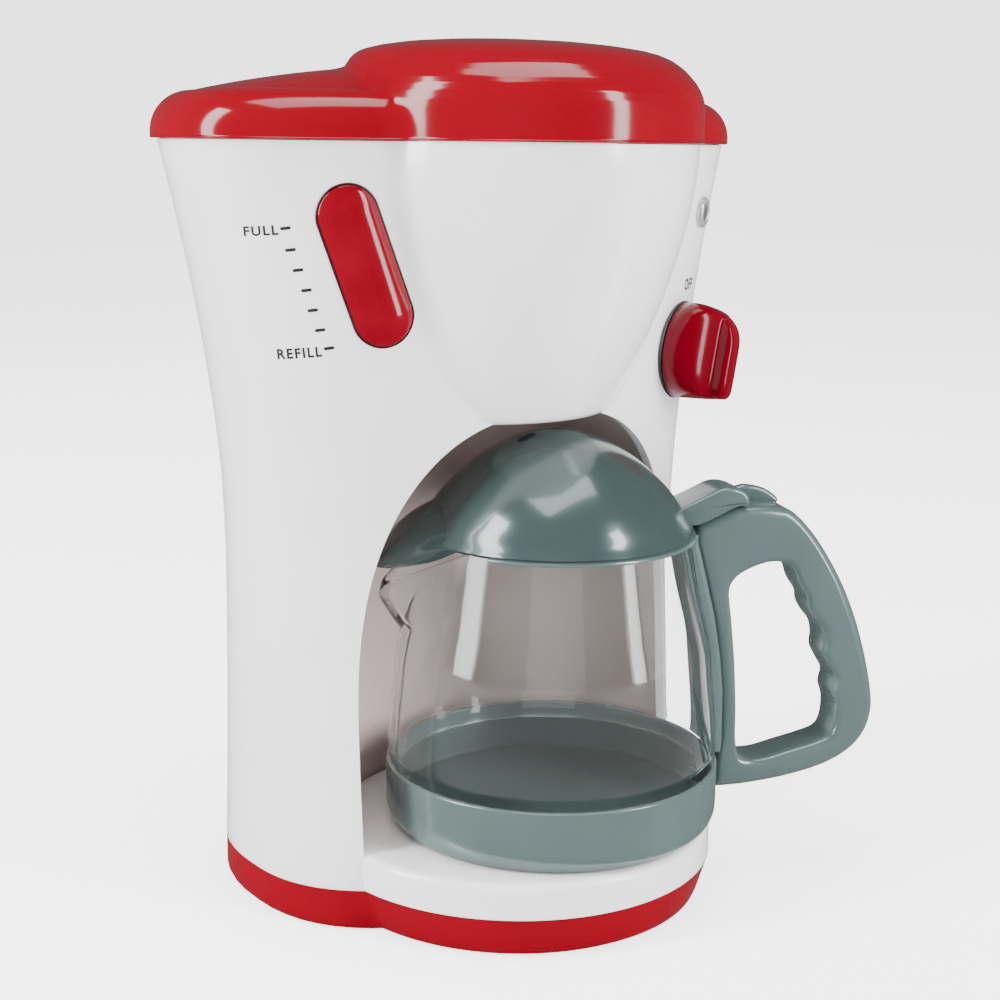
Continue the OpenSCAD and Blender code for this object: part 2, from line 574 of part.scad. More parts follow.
module knob_shaft() color(steel) at_dial() {
    translate([0, 0, -12.6]) cylinder(r = shaft_r, h = 20);
}

// ---------- jug ----------
// Height on the clear body, from 0 at the cup's rim to 1 at the mouth
function jug_z(k) = cup_h + 0.1 + (mouth_h - cup_h - 0.1) * k;
// Radius of the clear body at height z above the plate
jug_points = [[cup_h + 0.1, jug_r - 0.1], [jug_z(0.074), jug_r], [jug_z(0.221), jug_r - 0.55], [jug_z(0.352), jug_r - 1.4],
    [jug_z(0.516), jug_r * 0.72 + mouth_r * 0.28], [jug_z(0.697), jug_r * 0.41 + mouth_r * 0.59],
    [jug_z(0.828), jug_r * 0.22 + mouth_r * 0.78], [mouth_h, mouth_r]];
function jug_rad(z) = lookup(z, jug_points);
// Beak: the ring runs straight from the side of the jug out to the spout's tip
spout_low = mouth_h - 27;
spout_high = mouth_h - 12;
lap_z = cup_h - 4;   // how far the clear body reaches down into the cup
function beak_t(z) = min(max((z - spout_low) / (spout_high - 4 - spout_low), 0), 1);
function beak_reach(z, r) = r + (spout_reach - mouth_r - 2.2) * pow(beak_t(z), 0.85);
function beak_half(z) = 5 + 33 * pow(beak_t(z), 0.8);
function beak_rad(z, r, inset, d) =
    let (b = beak_half(z) - inset * 0.6, t = beak_reach(z, r) - inset * 0.9)
    z <= spout_low || abs(d) >= b ? r
        : t * r * sin(b) / (sin(abs(d)) * (t - r * cos(b)) + r * sin(b) * cos(d));
beak_angles = concat([for (i = [0:39]) 40 + i * 280 / 39], [for (i = [1:12]) -40 + i * 80 / 13]);
function jug_ring(z, r, inset) = [for (d = beak_angles) let (a = d > 180 ? d - 360 : d, q = beak_rad(z, r, inset, a))
    [-q * cos(a), -q * sin(a), z]];
function rim_ring(lift, r, inset) = [for (d = beak_angles) let (a = d > 180 ? d - 360 : d,
        f = min(abs(a) / beak_half(mouth_h), 1), q = beak_rad(mouth_h, r + 2.3 * (1 - f), inset, a))
    [-q * cos(a), -q * sin(a), spout_high + (mouth_h - spout_high) * pow(f, 0.9) + lift]];
function centre_ring(z) = [for (d = beak_angles) [-0.5 * cos(d), -0.5 * sin(d), z]];
function outer_rings(grow) = concat(
    [jug_ring(lap_z, cup_r - 1.8 + grow, 0), jug_ring(cup_h + 0.1, cup_r - 1.8 + grow, 0)],
    [for (z = [cup_h + 0.4, jug_z(0.074), jug_z(0.287), jug_z(0.45), spout_low, spout_low + 3.5, spout_low + 7.5,
        spout_low + 11.5]) jug_ring(z, jug_rad(z) + grow, -grow)],
    [rim_ring(grow, mouth_r + grow, -grow)]);
function inner_rings() = concat([rim_ring(0, mouth_r - glass_wall, glass_wall)],
    [for (z = [spout_low + 10.5, spout_low + 6.5, spout_low + 2.5, jug_z(0.484), jug_z(0.287), cup_h + 2.4]) jug_ring(z, jug_rad(z) - glass_wall, glass_wall)],
    [jug_ring(cup_h + 1.6, cup_r - 3.4, 0), jug_ring(lap_z, cup_r - 3.4, 0)]);
module jug_outer(grow) loft(concat(outer_rings(grow), [centre_ring(mouth_h + grow)]));
// A ring-shaped solid through closed rings: up the outside, over the rim and down the inside
module hollow_loft(rings) {
    n = len(rings[0]);
    m = len(rings);
    polyhedron(joined(rings), [for (k = [0:m - 1]) for (i = [0:n - 1])
        let (a = k * n + i, b = k * n + (i + 1) % n, c = ((k + 1) % m) * n + i, d = ((k + 1) % m) * n + (i + 1) % n)
        each [[a, c, d], [a, d, b]]]);
}
module jug_glass() color([0.86, 0.90, 0.89, 0.35]) at_jug() hollow_loft(concat(outer_rings(0), inner_rings()));

handle_screw_z = lap_z - 3.4;
module jug_base() color(slate) at_jug() difference() {
    rotate_extrude($fn = 96) polygon([[0, 1], [cup_r - 5, 1], [cup_r - 5, 0], [cup_r - 2.4, 0], [cup_r - 1, 0.7],
        [cup_r - 0.25, 2], [cup_r, 3.6], [cup_r, cup_h], [cup_r - 1.6, cup_h], [cup_r - 1.75, 3], [0, 3]]);
    translate([cup_r - 4, 0, handle_screw_z]) rotate([0, 90, 0]) cylinder(r = screw_r + screw_fit, h = 6);
}

// Side view of the handle: distance from the jug's axis, height above the plate. Above the cup, heights follow the mouth.
drawn_mouth = 77.5;
function follow(points) = [for (p = points)
    [p[0], p[1] < cup_h ? p[1] : cup_h + (p[1] - cup_h) * (mouth_h - cup_h) / (drawn_mouth - cup_h)]];
handle_outer = follow([[50.4, 82.9], [54.7, 82.9], [59.1, 82.4], [63.6, 81.2], [68.8, 76.3], [74.2, 69], [79.6, 59.6],
    [83.9, 49.4], [87.1, 39], [89, 30.1], [89.3, 24.2], [87.6, 18.4], [83.4, 13.5], [76, 9.6], [65.6, 7], [54.5, 5.6],
    [48, 5.3]]);
handle_hole = follow([[60.5, 67.5], [56.8, 67.4], [51.9, 65.8], [48.2, 63.4], [46.7, 59.7], [47.8, 51.2], [49.1, 39.7],
    [49.8, 28.8], [50.2, 17.5], [52.6, 13.4], [57.9, 12.9], [65.2, 14.6], [72.6, 16.4], [76.8, 18], [78.4, 21.2],
    [78.6, 26.3], [77.4, 30.6], [77.9, 34.4], [75.8, 38.2], [74.2, 41.5], [74.3, 44.9], [73.5, 48.4], [71, 51.7],
    [69.6, 54.2], [69, 57.2], [66.6, 60.9], [65.4, 64.2], [63.4, 66.6]]);
function seam_at(k, gap) = [jug_rad(jug_z(k)) + gap, jug_z(k)];
handle_seam = [[cup_r + 0.5, 5.3], [cup_r + 0.5, cup_h - 4.4], [cup_r + 1.3, cup_h + 2.6], seam_at(0.27, 2.4),
    seam_at(0.44, 2.4), seam_at(0.62, 2.5), seam_at(0.82, 2.2), seam_at(0.92, 1.8), [mouth_r + 2.2, mouth_h - 3.3],
    [mouth_r + 2.2, mouth_h - 0.1]];
handle_top = follow([[37.4, 78.4], [47.3, 82.7]]);
module handle_side(w) rotate([90, 0, 0]) translate([0, 0, -w / 2]) linear_extrude(w) children();
module handle_outline() {
    n = len(handle_outer) + len(handle_seam) + len(handle_top);
    difference() {
        polygon(concat(smooth(handle_outer, 3), handle_seam, handle_top));
        polygon(smooth(handle_hole, 3));
    }
}
module jug_handle() color(slate) at_jug() difference() {
    union() {
        handle_side(handle_w - 3) handle_outline();
        handle_side(handle_w) offset(delta = -1.1) handle_outline();
    }
    translate([42, 0, handle_screw_z]) rotate([0, 90, 0]) cylinder(r = screw_r + 0.05, h = 13);
}

module jug_collar() color(slate) at_jug() difference() {
    union() {
        difference() {
            rotate_extrude($fn = 96) polygon([[mouth_r + 0.3, mouth_h - collar_h], [mouth_r + 1.9, mouth_h - collar_h],
                [mouth_r + 1.9, mouth_h - 0.6], [mouth_r + 0.9, mouth_h + 0.1], [mouth_r + 0.3, mouth_h + 0.1]]);
            translate([-60, -26, mouth_h - 10]) cube([36, 52, 20]);
        }
        // strap down the side, under the handle
        intersection() {
            handle_side(strap_w) polygon(concat(
                [for (p = handle_seam) [p[0] - 0.15, p[1]]], [[mouth_r - 1, mouth_h - 0.9], [mouth_r - 1, cup_h - 4]]));
            translate([0, 0, cup_h + 0.4]) cylinder(r = 60, h = 80);
        }
    }
    rotate_extrude($fn = 96) polygon(concat([[0, cup_h - 1], [jug_r + 0.15, cup_h - 1]],
        [for (q = jug_points) [q[1] + 0.25, q[0]]], [[mouth_r + 0.25, mouth_h + 1], [0, mouth_h + 1]]));
}

module handle_screw() color(steel) at_jug()
    translate([cup_r - 3.4, 0, handle_screw_z]) rotate([0, 90, 0]) screw(10);

function lid_curve(d) = [for (p = smooth([[1.9, 0.3], [0, 2.5], [-2.2, 6.1], [-5.2, 9.9], [-9.4, 14.1], [-15, 18.7],
    [-23.6, 23.6], [-31.6, 26.2]], 2)) let (q = p + [mouth_r, mouth_h])
    [max(q[0] - d, 0.5), q[1] - (q[0] < 20 ? d : d * 0.4)]];
module jug_lid() color(slate) at_jug() difference() {
    union() {
        rotate_extrude($fn = 96) polygon(concat([[0, mouth_h + 0.3]], lid_curve(0), [[0, mouth_h + jug_lid_h - 0.2]]));
        // hood over the spout: height from the mouth, near and far reach, half width
        loft([for (p = [[-7.9, 42.5, 47.2, 3], [-5.5, 35, 46.6, 8.5], [-2.5, 30, 45, 13], [0.3, 26, 43, 16.5],
                [3, 22, 40.6, 17], [6, 18, 36.6, 15], [8.8, 14, 31.5, 12]])
            let (a = p[1], b = p[2], w = p[3], z = mouth_h + p[0])
            [[-a, -w, z], [-a, w, z], [-a * 0.4 - b * 0.6, w * 0.6, z], [-b, w * 0.15, z],
             [-b, -w * 0.15, z], [-a * 0.4 - b * 0.6, -w * 0.6, z]]]);
    }
    rotate_extrude($fn = 96) polygon(concat([[0, mouth_h - 10], [mouth_r - 0.4, mouth_h - 10], [mouth_r - 0.4, mouth_h + 1.2]],
        [for (p = lid_curve(jug_lid_wall)) if (p[1] > mouth_h + 2) p], [[0, mouth_h + jug_lid_h - 0.2 - jug_lid_wall]]));
    difference() {
        jug_outer(0.3);
        translate([0, 0, mouth_h + 0.25]) cylinder(r = 60, h = 9);
    }
}
module thumb_lever() color(slate) at_jug() difference() {
    handle_side(lever_w) polygon(follow([[32, 79.4], [31, 82.4], [32.6, 83.6], [36.5, 85.2], [40, 86.8], [43, 88.1],
        [46, 88.3], [49.3, 87.3], [50.8, 85.6], [50.6, 83.2], [47.3, 82.95], [37.2, 78.6]]));
    rotate_extrude($fn = 96) polygon(concat([[0, mouth_h - 2], [mouth_r + 2.1, mouth_h - 2]], lid_curve(-0.2),
        [[0, mouth_h + jug_lid_h]]));
}

// ---------- show ----------
base_pan();
battery_door();
battery_door_screw();
battery_cells();
battery_contacts();
base_screws();
front_housing();
rear_housing();
housing_screws();
recess_liner();
gauge_window();
indicator_lens();
indicator_bezel();
indicator_led();
water_tank();
drip_nozzle();
circuit_board();
rotary_switch();
board_screws();
speaker();
lid_hinge_pin();
top_lid();
control_knob();
knob_shaft();
jug_glass();
jug_base();
jug_collar();
jug_handle();
handle_screw();
jug_lid();
thumb_lever();
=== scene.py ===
"""Toy coffee maker, dressed over its frame.

Lengths inside the classes are in millimetres in the object's own frame (+Z up, -Y the front) and are turned into
metres when a mesh is made.
"""
from __future__ import annotations

import json
import logging
import math
from dataclasses import dataclass, field
from enum import Enum
from typing import Callable, Sequence

import bmesh
import bpy
import numpy as np
from mathutils import Matrix, Vector

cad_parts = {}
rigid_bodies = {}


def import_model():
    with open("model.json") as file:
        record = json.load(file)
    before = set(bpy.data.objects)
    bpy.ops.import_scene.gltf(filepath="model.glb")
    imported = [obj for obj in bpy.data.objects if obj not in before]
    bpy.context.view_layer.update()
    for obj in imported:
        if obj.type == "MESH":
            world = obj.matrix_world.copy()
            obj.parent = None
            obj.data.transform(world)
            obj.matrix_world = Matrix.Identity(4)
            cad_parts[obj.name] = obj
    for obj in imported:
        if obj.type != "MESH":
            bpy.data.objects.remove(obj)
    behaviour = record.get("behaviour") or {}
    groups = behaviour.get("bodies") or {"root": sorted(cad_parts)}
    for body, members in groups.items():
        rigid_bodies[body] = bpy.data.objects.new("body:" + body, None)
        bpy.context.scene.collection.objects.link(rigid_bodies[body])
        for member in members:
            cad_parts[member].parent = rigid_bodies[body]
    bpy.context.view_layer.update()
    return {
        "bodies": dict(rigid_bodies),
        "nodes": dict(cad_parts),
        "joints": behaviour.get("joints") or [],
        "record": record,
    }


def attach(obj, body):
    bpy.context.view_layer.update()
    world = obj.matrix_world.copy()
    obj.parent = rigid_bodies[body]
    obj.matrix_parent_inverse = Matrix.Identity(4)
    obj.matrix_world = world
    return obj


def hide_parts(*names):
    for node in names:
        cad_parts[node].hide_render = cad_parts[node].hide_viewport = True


LOG = logging.getLogger("toy_coffee_maker")
MM = 0.001
REACH_MM = 140.0
PRINT_LIFT_MM = 0.06
Array = np.ndarray


# --------------------------------------------------------------------------------------------- numbers and curves
def smoothstep(x: Array, low: float, high: float) -> Array:
    """Return 0 below low, 1 above high, and a smooth cubic between."""
    t = np.clip((np.asarray(x, float) - low) / (high - low), 0.0, 1.0)
    return t * t * (3.0 - 2.0 * t)


def soft_union(a: Array, b: Array, k: Array | float) -> Array:
    """Blend two distances into their smooth minimum, min(a, b) less a quarter of k(1 - |a - b|/k)^2.

    Args:
        a: the first distance.
        b: the second distance.
        k: the width over which they blend.

    Returns:
        The blended distance.
    """
    k = np.maximum(k, 1e-6)
    h = np.maximum(k - np.abs(a - b), 0.0) / k
    return np.minimum(a, b) - h * h * k * 0.25


def catmull(points: Sequence[Sequence[float]], steps: int, closed: bool = False) -> Array:
    """Return a Catmull-Rom curve through the points.

    Args:
        points: the points to pass through.
        steps: samples from each point to the next.
        closed: whether the curve returns to its first point.

    Returns:
        The samples, one row each.
    """
    p = np.asarray(points, float)
    if closed:
        q = np.vstack([p[-1], p, p[0], p[1]])
    else:
        q = np.vstack([2 * p[0] - p[1], p, 2 * p[-1] - p[-2]])
    t = (np.arange(steps) / steps)[None, :, None]
    a, b, c, d = (q[i : len(q) - 3 + i][:, None, :] for i in range(4))
    out = 0.5 * (2 * b + (c - a) * t + (2 * a - 5 * b + 4 * c - d) * t**2 + (3 * b - a - 3 * c + d) * t**3)
    out = out.reshape(-1, p.shape[1])
    return out if closed else np.vstack([out, p[-1]])


def resample(curve: Array, count: int, closed: bool = False) -> Array:
    """Space samples evenly along a curve.

    Args:
        curve: the points of the curve.
        count: how many samples.
        closed: whether the curve returns to its first point.

    Returns:
        The samples, one row each.
    """
    c = np.vstack([curve, curve[:1]]) if closed else curve
    s = np.concatenate([[0.0], np.cumsum(np.linalg.norm(np.diff(c, axis=0), axis=1))])
    t = np.linspace(0.0, s[-1], count, endpoint=not closed)
    return np.column_stack([np.interp(t, s, c[:, i]) for i in range(c.shape[1])])


def bisect(f: Callable[[Array], Array], low: Array, high: Array, rounds: int = 44) -> Array:
    """Find where a function crosses zero, by halving the gap again and again.

    Args:
        f: the function.
        low: where it is negative.
        high: where it is positive.
        rounds: how often to halve.

    Returns:
        The crossings.
    """
    low, high = low.copy(), high.copy()
    for _ in range(rounds):
        mid = 0.5 * (low + high)
        inside = f(mid) < 0
        low, high = np.where(inside, mid, low), np.where(inside, high, mid)
    return 0.5 * (low + high)


def blurred(values: Array, reach: int, width: float) -> Array:
    """Return a closed run of values, each averaged with its neighbours under a bell curve.

    Args:
        values: the values or points, the last next to the first.
        reach: how many neighbours on each side count.
        width: the bell's standard deviation, in samples.

    Returns:
        The averages.
    """
    steps = np.arange(-reach, reach + 1)
    weight = np.exp(-0.5 * (steps / width) ** 2)
    return sum(w * np.roll(values, k, 0) for k, w in zip(steps, weight / weight.sum()))


# ------------------------------------------------------------------------------------------------------ mesh tools
def in_scene(name: str, data: bpy.types.ID) -> bpy.types.Object:
    """Make an object and link it to the scene.

    Args:
        name: its name.
        data: its mesh, curve, light or camera.

    Returns:
        The object.
    """
    obj = bpy.data.objects.new(name, data)
    bpy.context.scene.collection.objects.link(obj)
    return obj


def welded(mesh: bpy.types.Mesh, distance: float, outwards: bool = False, flat_degrees: float = 0.0) -> bpy.types.Mesh:
    """Merge the points of a mesh that lie together.

    Args:
        mesh: the mesh, changed in place.
        distance: points closer than this, in millimetres, become one.
        outwards: whether to turn all faces outwards.
        flat_degrees: faces that meet at less than this angle become one, or 0 to leave them.

    Returns:
        The same mesh.
    """
    bm = bmesh.new()
    bm.from_mesh(mesh)
    bmesh.ops.remove_doubles(bm, verts=bm.verts, dist=distance * MM)
    if outwards:
        bmesh.ops.recalc_face_normals(bm, faces=bm.faces)
    if flat_degrees > 0:
        bmesh.ops.dissolve_limit(bm, angle_limit=math.radians(flat_degrees), verts=bm.verts, edges=bm.edges)
    bm.to_mesh(mesh)
    bm.free()
    mesh.update()
    return mesh


def grid_faces(rows: int, cols: int, wrap_cols: bool, wrap_rows: bool = False, offset: int = 0) -> Array:
    """Join a grid's points into quads: (row, col), (row, col + 1), (row + 1, col + 1), (row + 1, col).

    Args:
        rows: how many rows of points.
        cols: how many points in each row.
        wrap_cols: whether the last column joins the first.
        wrap_rows: whether the last row joins the first.
        offset: index of the grid's first point.

    Returns:
        The quads, one row each.
    """
    r = np.arange(rows if wrap_rows else rows - 1)
    c = np.arange(cols if wrap_cols else cols - 1)
    rr, cc = np.meshgrid(r, c, indexing="ij")
    r2, c2 = (rr + 1) % rows, (cc + 1) % cols
    quads = np.stack([rr * cols + cc, rr * cols + c2, r2 * cols + c2, r2 * cols + cc], -1)
    return quads.reshape(-1, 4) + offset


@dataclass
class Surface:
    """Points and faces that grow grid by grid into one mesh."""

    points: list[Array] = field(default_factory=list)
    faces: list[list[int]] = field(default_factory=list)
    count: int = 0

    def add_grid(self, grid: Array, wrap_cols: bool = False, wrap_rows: bool = False, flip: bool = False,
                 cap_first: bool = False, cap_last: bool = False) -> "Surface":
        """Add a grid of points as quads.

        Args:
            grid: points as rows x columns x 3, in millimetres.
            wrap_cols: whether the last column joins the first.
            wrap_rows: whether the last row joins the first.
            flip: whether to turn the faces round.
            cap_first: whether to close the first row with a fan to its middle.
            cap_last: whether to close the last row with a fan to its middle.

        Returns:
            This surface.
        """
        rows, cols = grid.shape[:2]
        faces = [grid_faces(rows, cols, wrap_cols, wrap_rows, self.count)]
        self.points.append(grid.reshape(-1, 3))
        extra = self.count + rows * cols
        for row, wanted, turn in ((0, cap_first, -1), (rows - 1, cap_last, 1)):
            if wanted:
                self.points.append(grid[row].mean(axis=0)[None, :])
                ring = self.count + row * cols + np.arange(cols)
                edges = np.column_stack([ring, np.roll(ring, -1)])[:, ::turn]
                faces.append(np.column_stack([edges, np.full(cols, extra)]))
                extra += 1
        for block in faces:
            self.faces.extend((block[:, ::-1] if flip else block).tolist())
        self.count = extra
        return self

    def build(self, name: str, placed: Matrix | None = None, merge: float = 0.004) -> bpy.types.Object:
        """Make the mesh object.

        Args:
            name: the piece's name.
            placed: a turn and shift in millimetres to apply to the points.
            merge: points closer than this, in millimetres, become one.

        Returns:
            The object, at the origin, unturned and unscaled.
        """
        pts = np.vstack(self.points)
        if placed is not None:
            m = np.array(placed)
            pts = pts @ m[:3, :3].T + m[:3, 3]
        mesh = bpy.data.meshes.new(name)
        mesh.from_pydata((pts * MM).tolist(), [], self.faces)
        return in_scene(name, welded(mesh, merge, outwards=True))


def smooth_shaded(obj: bpy.types.Object, degrees: float = 35.0) -> bpy.types.Object:
    """Shade an object smooth.

    Args:
        obj: the object.
        degrees: edges sharper than this stay sharp.

    Returns:
        The same object.
    """
    mesh = obj.data
    mesh.shade_smooth()
    mesh.set_sharp_from_angle(angle=math.radians(degrees))
    return obj


def thickened(obj: bpy.types.Object, wall: float, offset: float = -1.0) -> bpy.types.Object:
    """Give a sheet its wall.

    Args:
        obj: the sheet.
        wall: its thickness in millimetres.
        offset: -1 puts the wall inside the sheet and 1 outside.

    Returns:
        The same object.
    """
    mod = obj.modifiers.new("wall", "SOLIDIFY")
    mod.thickness = wall * MM
    mod.offset = offset
    mod.use_quality_normals = True
    return obj


def softened(obj: bpy.types.Object, width: float, segments: int = 3, degrees: float = 40.0) -> bpy.types.Object:
    """Round an object's sharp edges.

    Args:
        obj: the object.
        width: width of the rounding in millimetres.
        segments: its facets.
        degrees: edges sharper than this are rounded.

    Returns:
        The same object.
    """
    mod = obj.modifiers.new("edge", "BEVEL")
    mod.width = width * MM
    mod.segments = segments
    mod.limit_method = "ANGLE"
    mod.angle_limit = math.radians(degrees)
    return obj


def revolved(profile: Array, segments: int = 160, start: float = 0.0, end: float = 360.0) -> Array:
    """Sweep a profile round the Z axis: each point is (r cos a, r sin a, h).

    Args:
        profile: rows of (radius, height).
        segments: steps round the axis.
        start: where the sweep starts, in degrees.
        end: where it ends.

    Returns:
        The grid, one row for each point of the profile.
    """
    closed = abs(end - start) >= 360.0
    a = np.radians(np.linspace(start, end, segments, endpoint=not closed))
    r, h = profile[:, 0][:, None], profile[:, 1][:, None]
    return np.stack([r * np.cos(a), r * np.sin(a), h + 0 * a], -1)


def rounded(profile: Sequence[Sequence[float]], radius: float | Sequence[float], steps: int = 5) -> Array:
    """Return an open polyline with each inner corner replaced by an arc-like curve.

    Args:
        profile: the corners.
        radius: the setback of the curve from each corner, one for all or one for each.
        steps: samples for each corner.

    Returns:
        The rounded polyline. Each corner c between a and b becomes the quadratic curve from c + (a - c)r to
        c + (b - c)r.
    """
    p = np.asarray(profile, float)
    radii = np.full(len(p), radius, float) if np.isscalar(radius) else np.asarray(radius, float)
    out = [p[:1]]
    for i in range(1, len(p) - 1):
        a, c, b = p[i - 1], p[i], p[i + 1]
        la, lb = np.linalg.norm(a - c), np.linalg.norm(b - c)
        r = min(radii[i], 0.49 * la, 0.49 * lb)
        if r < 1e-6:
            out.append(c[None])
            continue
        s, e = c + (a - c) / la * r, c + (b - c) / lb * r
        t = np.linspace(0, 1, steps + 1)[:, None]
        out.append((1 - t) ** 2 * s + 2 * t * (1 - t) * c + t**2 * e)
    out.append(p[-1:])
    return np.vstack(out)


def slab(outline: Array, low: float, high: float, radius: float, steps: int = 4) -> Array:
    """Return rings that make a plate of an outline with rounded rims.

    Args:
        outline: the closed outline as (x, y) rows, counter-clockwise.
        low: height of the underside.
        high: height of the top.
        radius: rounding of both rims. Each ring is the outline moved in along its own normals by r(1 - cos a) while
            the height moves by r(1 - sin a).
        steps: rings for each rounding.

    Returns:
        The grid of rings from the underside to the top.
    """
    d = np.roll(outline, -1, 0) - np.roll(outline, 1, 0)
    n = np.column_stack([d[:, 1], -d[:, 0]])
    n /= np.linalg.norm(n, axis=1)[:, None] + 1e-9
    a = np.linspace(0, np.pi / 2, steps + 1)
    rings = []
    for angles, rim, way in ((a, low, 1), (a[::-1], high, -1)):
        for ang in angles:
            ring = outline - n * radius * (1 - np.sin(ang))
            rings.append(np.column_stack([ring, np.full(len(ring), rim + way * radius * (1 - np.cos(ang)))]))
    return np.stack(rings)


# -------------------------------------------------------------------------------------------------------- finishes
class Finish(Enum):
    """Named finishes of the toy."""

    WHITE_SHELL = "white_shell"
    RED_TRIM = "red_trim"
    # Darker copy of the red trim: painted shade on the dial.
    DIAL_RED_SHADE = "dial_red_shade"
    SLATE = "slate"
    # Darker copy of the slate: painted shade on the jug's lid.
    SLATE_COVER_SHADE = "slate_cover_shade"
    # Darker, duller copy of the slate: painted shade inside the jug's cup.
    SLATE_INSIDE_SHADE = "slate_inside_shade"
    # Grey of the recess lining: painted shade.
    BAY_GREY_SHADE = "bay_grey"
    CLEAR = "clear"
    RED_WINDOW = "red_window"
    # Near-black bead: painted shade along the window's edge.
    WINDOW_RIM_SHADE = "window_rim_shade"
    TANK_CLEAR = "tank_clear"
    LAMP_GREY = "lamp_grey"
    LAMP_LENS = "lamp_lens"
    LAMP_LED = "lamp_led"
    DARK_PLASTIC = "dark_plastic"
    STEEL = "steel"
    BOARD = "board"
    CELL_SLEEVE = "cell_sleeve"
    PRINT_GREY = "print_grey"


@dataclass(frozen=True)
class Moulding:
    """Numbers of one moulded or metal finish.

    The colour drifts towards the tint over mottle_mm, and the roughness by its spread. The grain is grain_mm wide and
    grain_depth deep, both in millimetres, and streaks says how far the drift is drawn out upwards.
    """

    colour: tuple[float, float, float]
    tint: tuple[float, float, float]
    roughness: float = 0.2
    spread: float = 0.06
    grain_mm: float = 0.6
    grain_depth: float = 0.02
    mottle_mm: float = 22.0
    metallic: float = 0.0
    coat: float = 0.0
    specular: float = 0.5
    transmission: float = 0.0
    ior: float = 1.49
    subsurface: float = 0.0
    streaks: float = 0.0


FINISHES: dict[Finish, Moulding] = {
    Finish.WHITE_SHELL: Moulding((0.86, 0.86, 0.85), (0.80, 0.80, 0.79), 0.22, 0.05, 0.5, 0.012, 30, coat=0.25,
                                 subsurface=0.04),
    Finish.RED_TRIM: Moulding((0.195, 0.0002, 0.0070), (0.182, 0.0002, 0.0060), 0.12, 0.03, 0.5, 0.006, 30,
                              specular=0.35),
    # Painted shade: a darker copy of the red trim for the dial, with less sheen.
    Finish.DIAL_RED_SHADE: Moulding((0.120, 0.0004, 0.0060), (0.108, 0.0004, 0.0050), 0.14, 0.03, 0.5, 0.006, 20,
                              specular=0.18),
    Finish.SLATE: Moulding((0.112, 0.158, 0.156), (0.102, 0.146, 0.144), 0.24, 0.04, 0.8, 0.004, 30, metallic=0.40,
                           coat=0.25),
    # Painted shade: a darker copy of the slate for the jug's lid, which sits in shade under the funnel.
    Finish.SLATE_COVER_SHADE: Moulding((0.044, 0.070, 0.068), (0.039, 0.063, 0.061), 0.20, 0.04, 0.8, 0.004, 30,
                                 metallic=0.30, coat=0.5),
    # Painted shade: a darker copy of the slate for the inside of the jug's cup.
    Finish.SLATE_INSIDE_SHADE: Moulding((0.034, 0.052, 0.049), (0.030, 0.047, 0.044), 0.6, 0.04, 0.8, 0.0, 20,
                                  specular=0.12),
    # Painted shade: white plastic in the shade of the recess, given a taupe grey colour.
    Finish.BAY_GREY_SHADE: Moulding((0.46, 0.370, 0.355), (0.438, 0.351, 0.337), 0.42, 0.05, 0.4, 0.03, 30),
    Finish.CLEAR: Moulding((0.96, 0.975, 0.97), (0.94, 0.96, 0.955), 0.02, 0.01, 0.6, 0.0, 20, coat=0.6,
                           transmission=1.0, ior=1.08),
    Finish.RED_WINDOW: Moulding((0.150, 0.0003, 0.0060), (0.190, 0.0010, 0.0090), 0.10, 0.03, 0.5, 0.004, 16,
                                specular=0.3),
    # Painted shade: a near-black bead for the dark line along the window's edge.
    Finish.WINDOW_RIM_SHADE: Moulding((0.030, 0.003, 0.008), (0.024, 0.002, 0.006), 0.25, 0.03, 0.4, 0.01, 10),
    Finish.TANK_CLEAR: Moulding((0.82, 0.86, 0.86), (0.78, 0.83, 0.83), 0.25, 0.05, 0.6, 0.02, 20, transmission=0.6),
    Finish.LAMP_GREY: Moulding((0.50, 0.51, 0.52), (0.44, 0.45, 0.46), 0.22, 0.05, 0.3, 0.01, 5, metallic=0.5,
                               coat=0.3),
    Finish.LAMP_LENS: Moulding((0.10, 0.082, 0.085), (0.08, 0.066, 0.068), 0.08, 0.03, 0.3, 0.004, 4, coat=0.6),
    Finish.LAMP_LED: Moulding((0.80, 0.80, 0.74), (0.74, 0.74, 0.68), 0.2, 0.05, 0.3, 0.01, 3),
    Finish.DARK_PLASTIC: Moulding((0.028, 0.028, 0.030), (0.040, 0.040, 0.043), 0.4, 0.1, 0.3, 0.06, 8),
    Finish.STEEL: Moulding((0.56, 0.57, 0.58), (0.44, 0.45, 0.47), 0.28, 0.1, 0.2, 0.03, 4, metallic=1.0,
                           streaks=0.5),
    Finish.BOARD: Moulding((0.020, 0.150, 0.070), (0.012, 0.110, 0.050), 0.35, 0.1, 0.4, 0.05, 6, coat=0.3),
    Finish.CELL_SLEEVE: Moulding((0.035, 0.045, 0.055), (0.50, 0.34, 0.05), 0.25, 0.05, 0.4, 0.02, 14, coat=0.4),
    Finish.PRINT_GREY: Moulding((0.010, 0.010, 0.014), (0.016, 0.016, 0.020), 0.5, 0.05, 0.2, 0.01, 3),
}

# Finishes that share the slot of a commoner one.
SLOT_OF: dict[Finish, Finish] = {
    Finish.PRINT_GREY: Finish.DARK_PLASTIC,
    Finish.WINDOW_RIM_SHADE: Finish.RED_WINDOW,
    Finish.SLATE_INSIDE_SHADE: Finish.SLATE,
    Finish.SLATE_COVER_SHADE: Finish.SLATE,
    Finish.DIAL_RED_SHADE: Finish.RED_TRIM,
}


def fill(node: bpy.types.Node, values: dict[str | int, object]) -> None:
    """Set what a node's unlinked inputs hold."""
    for key, value in values.items():
        node.inputs[key].default_value = value


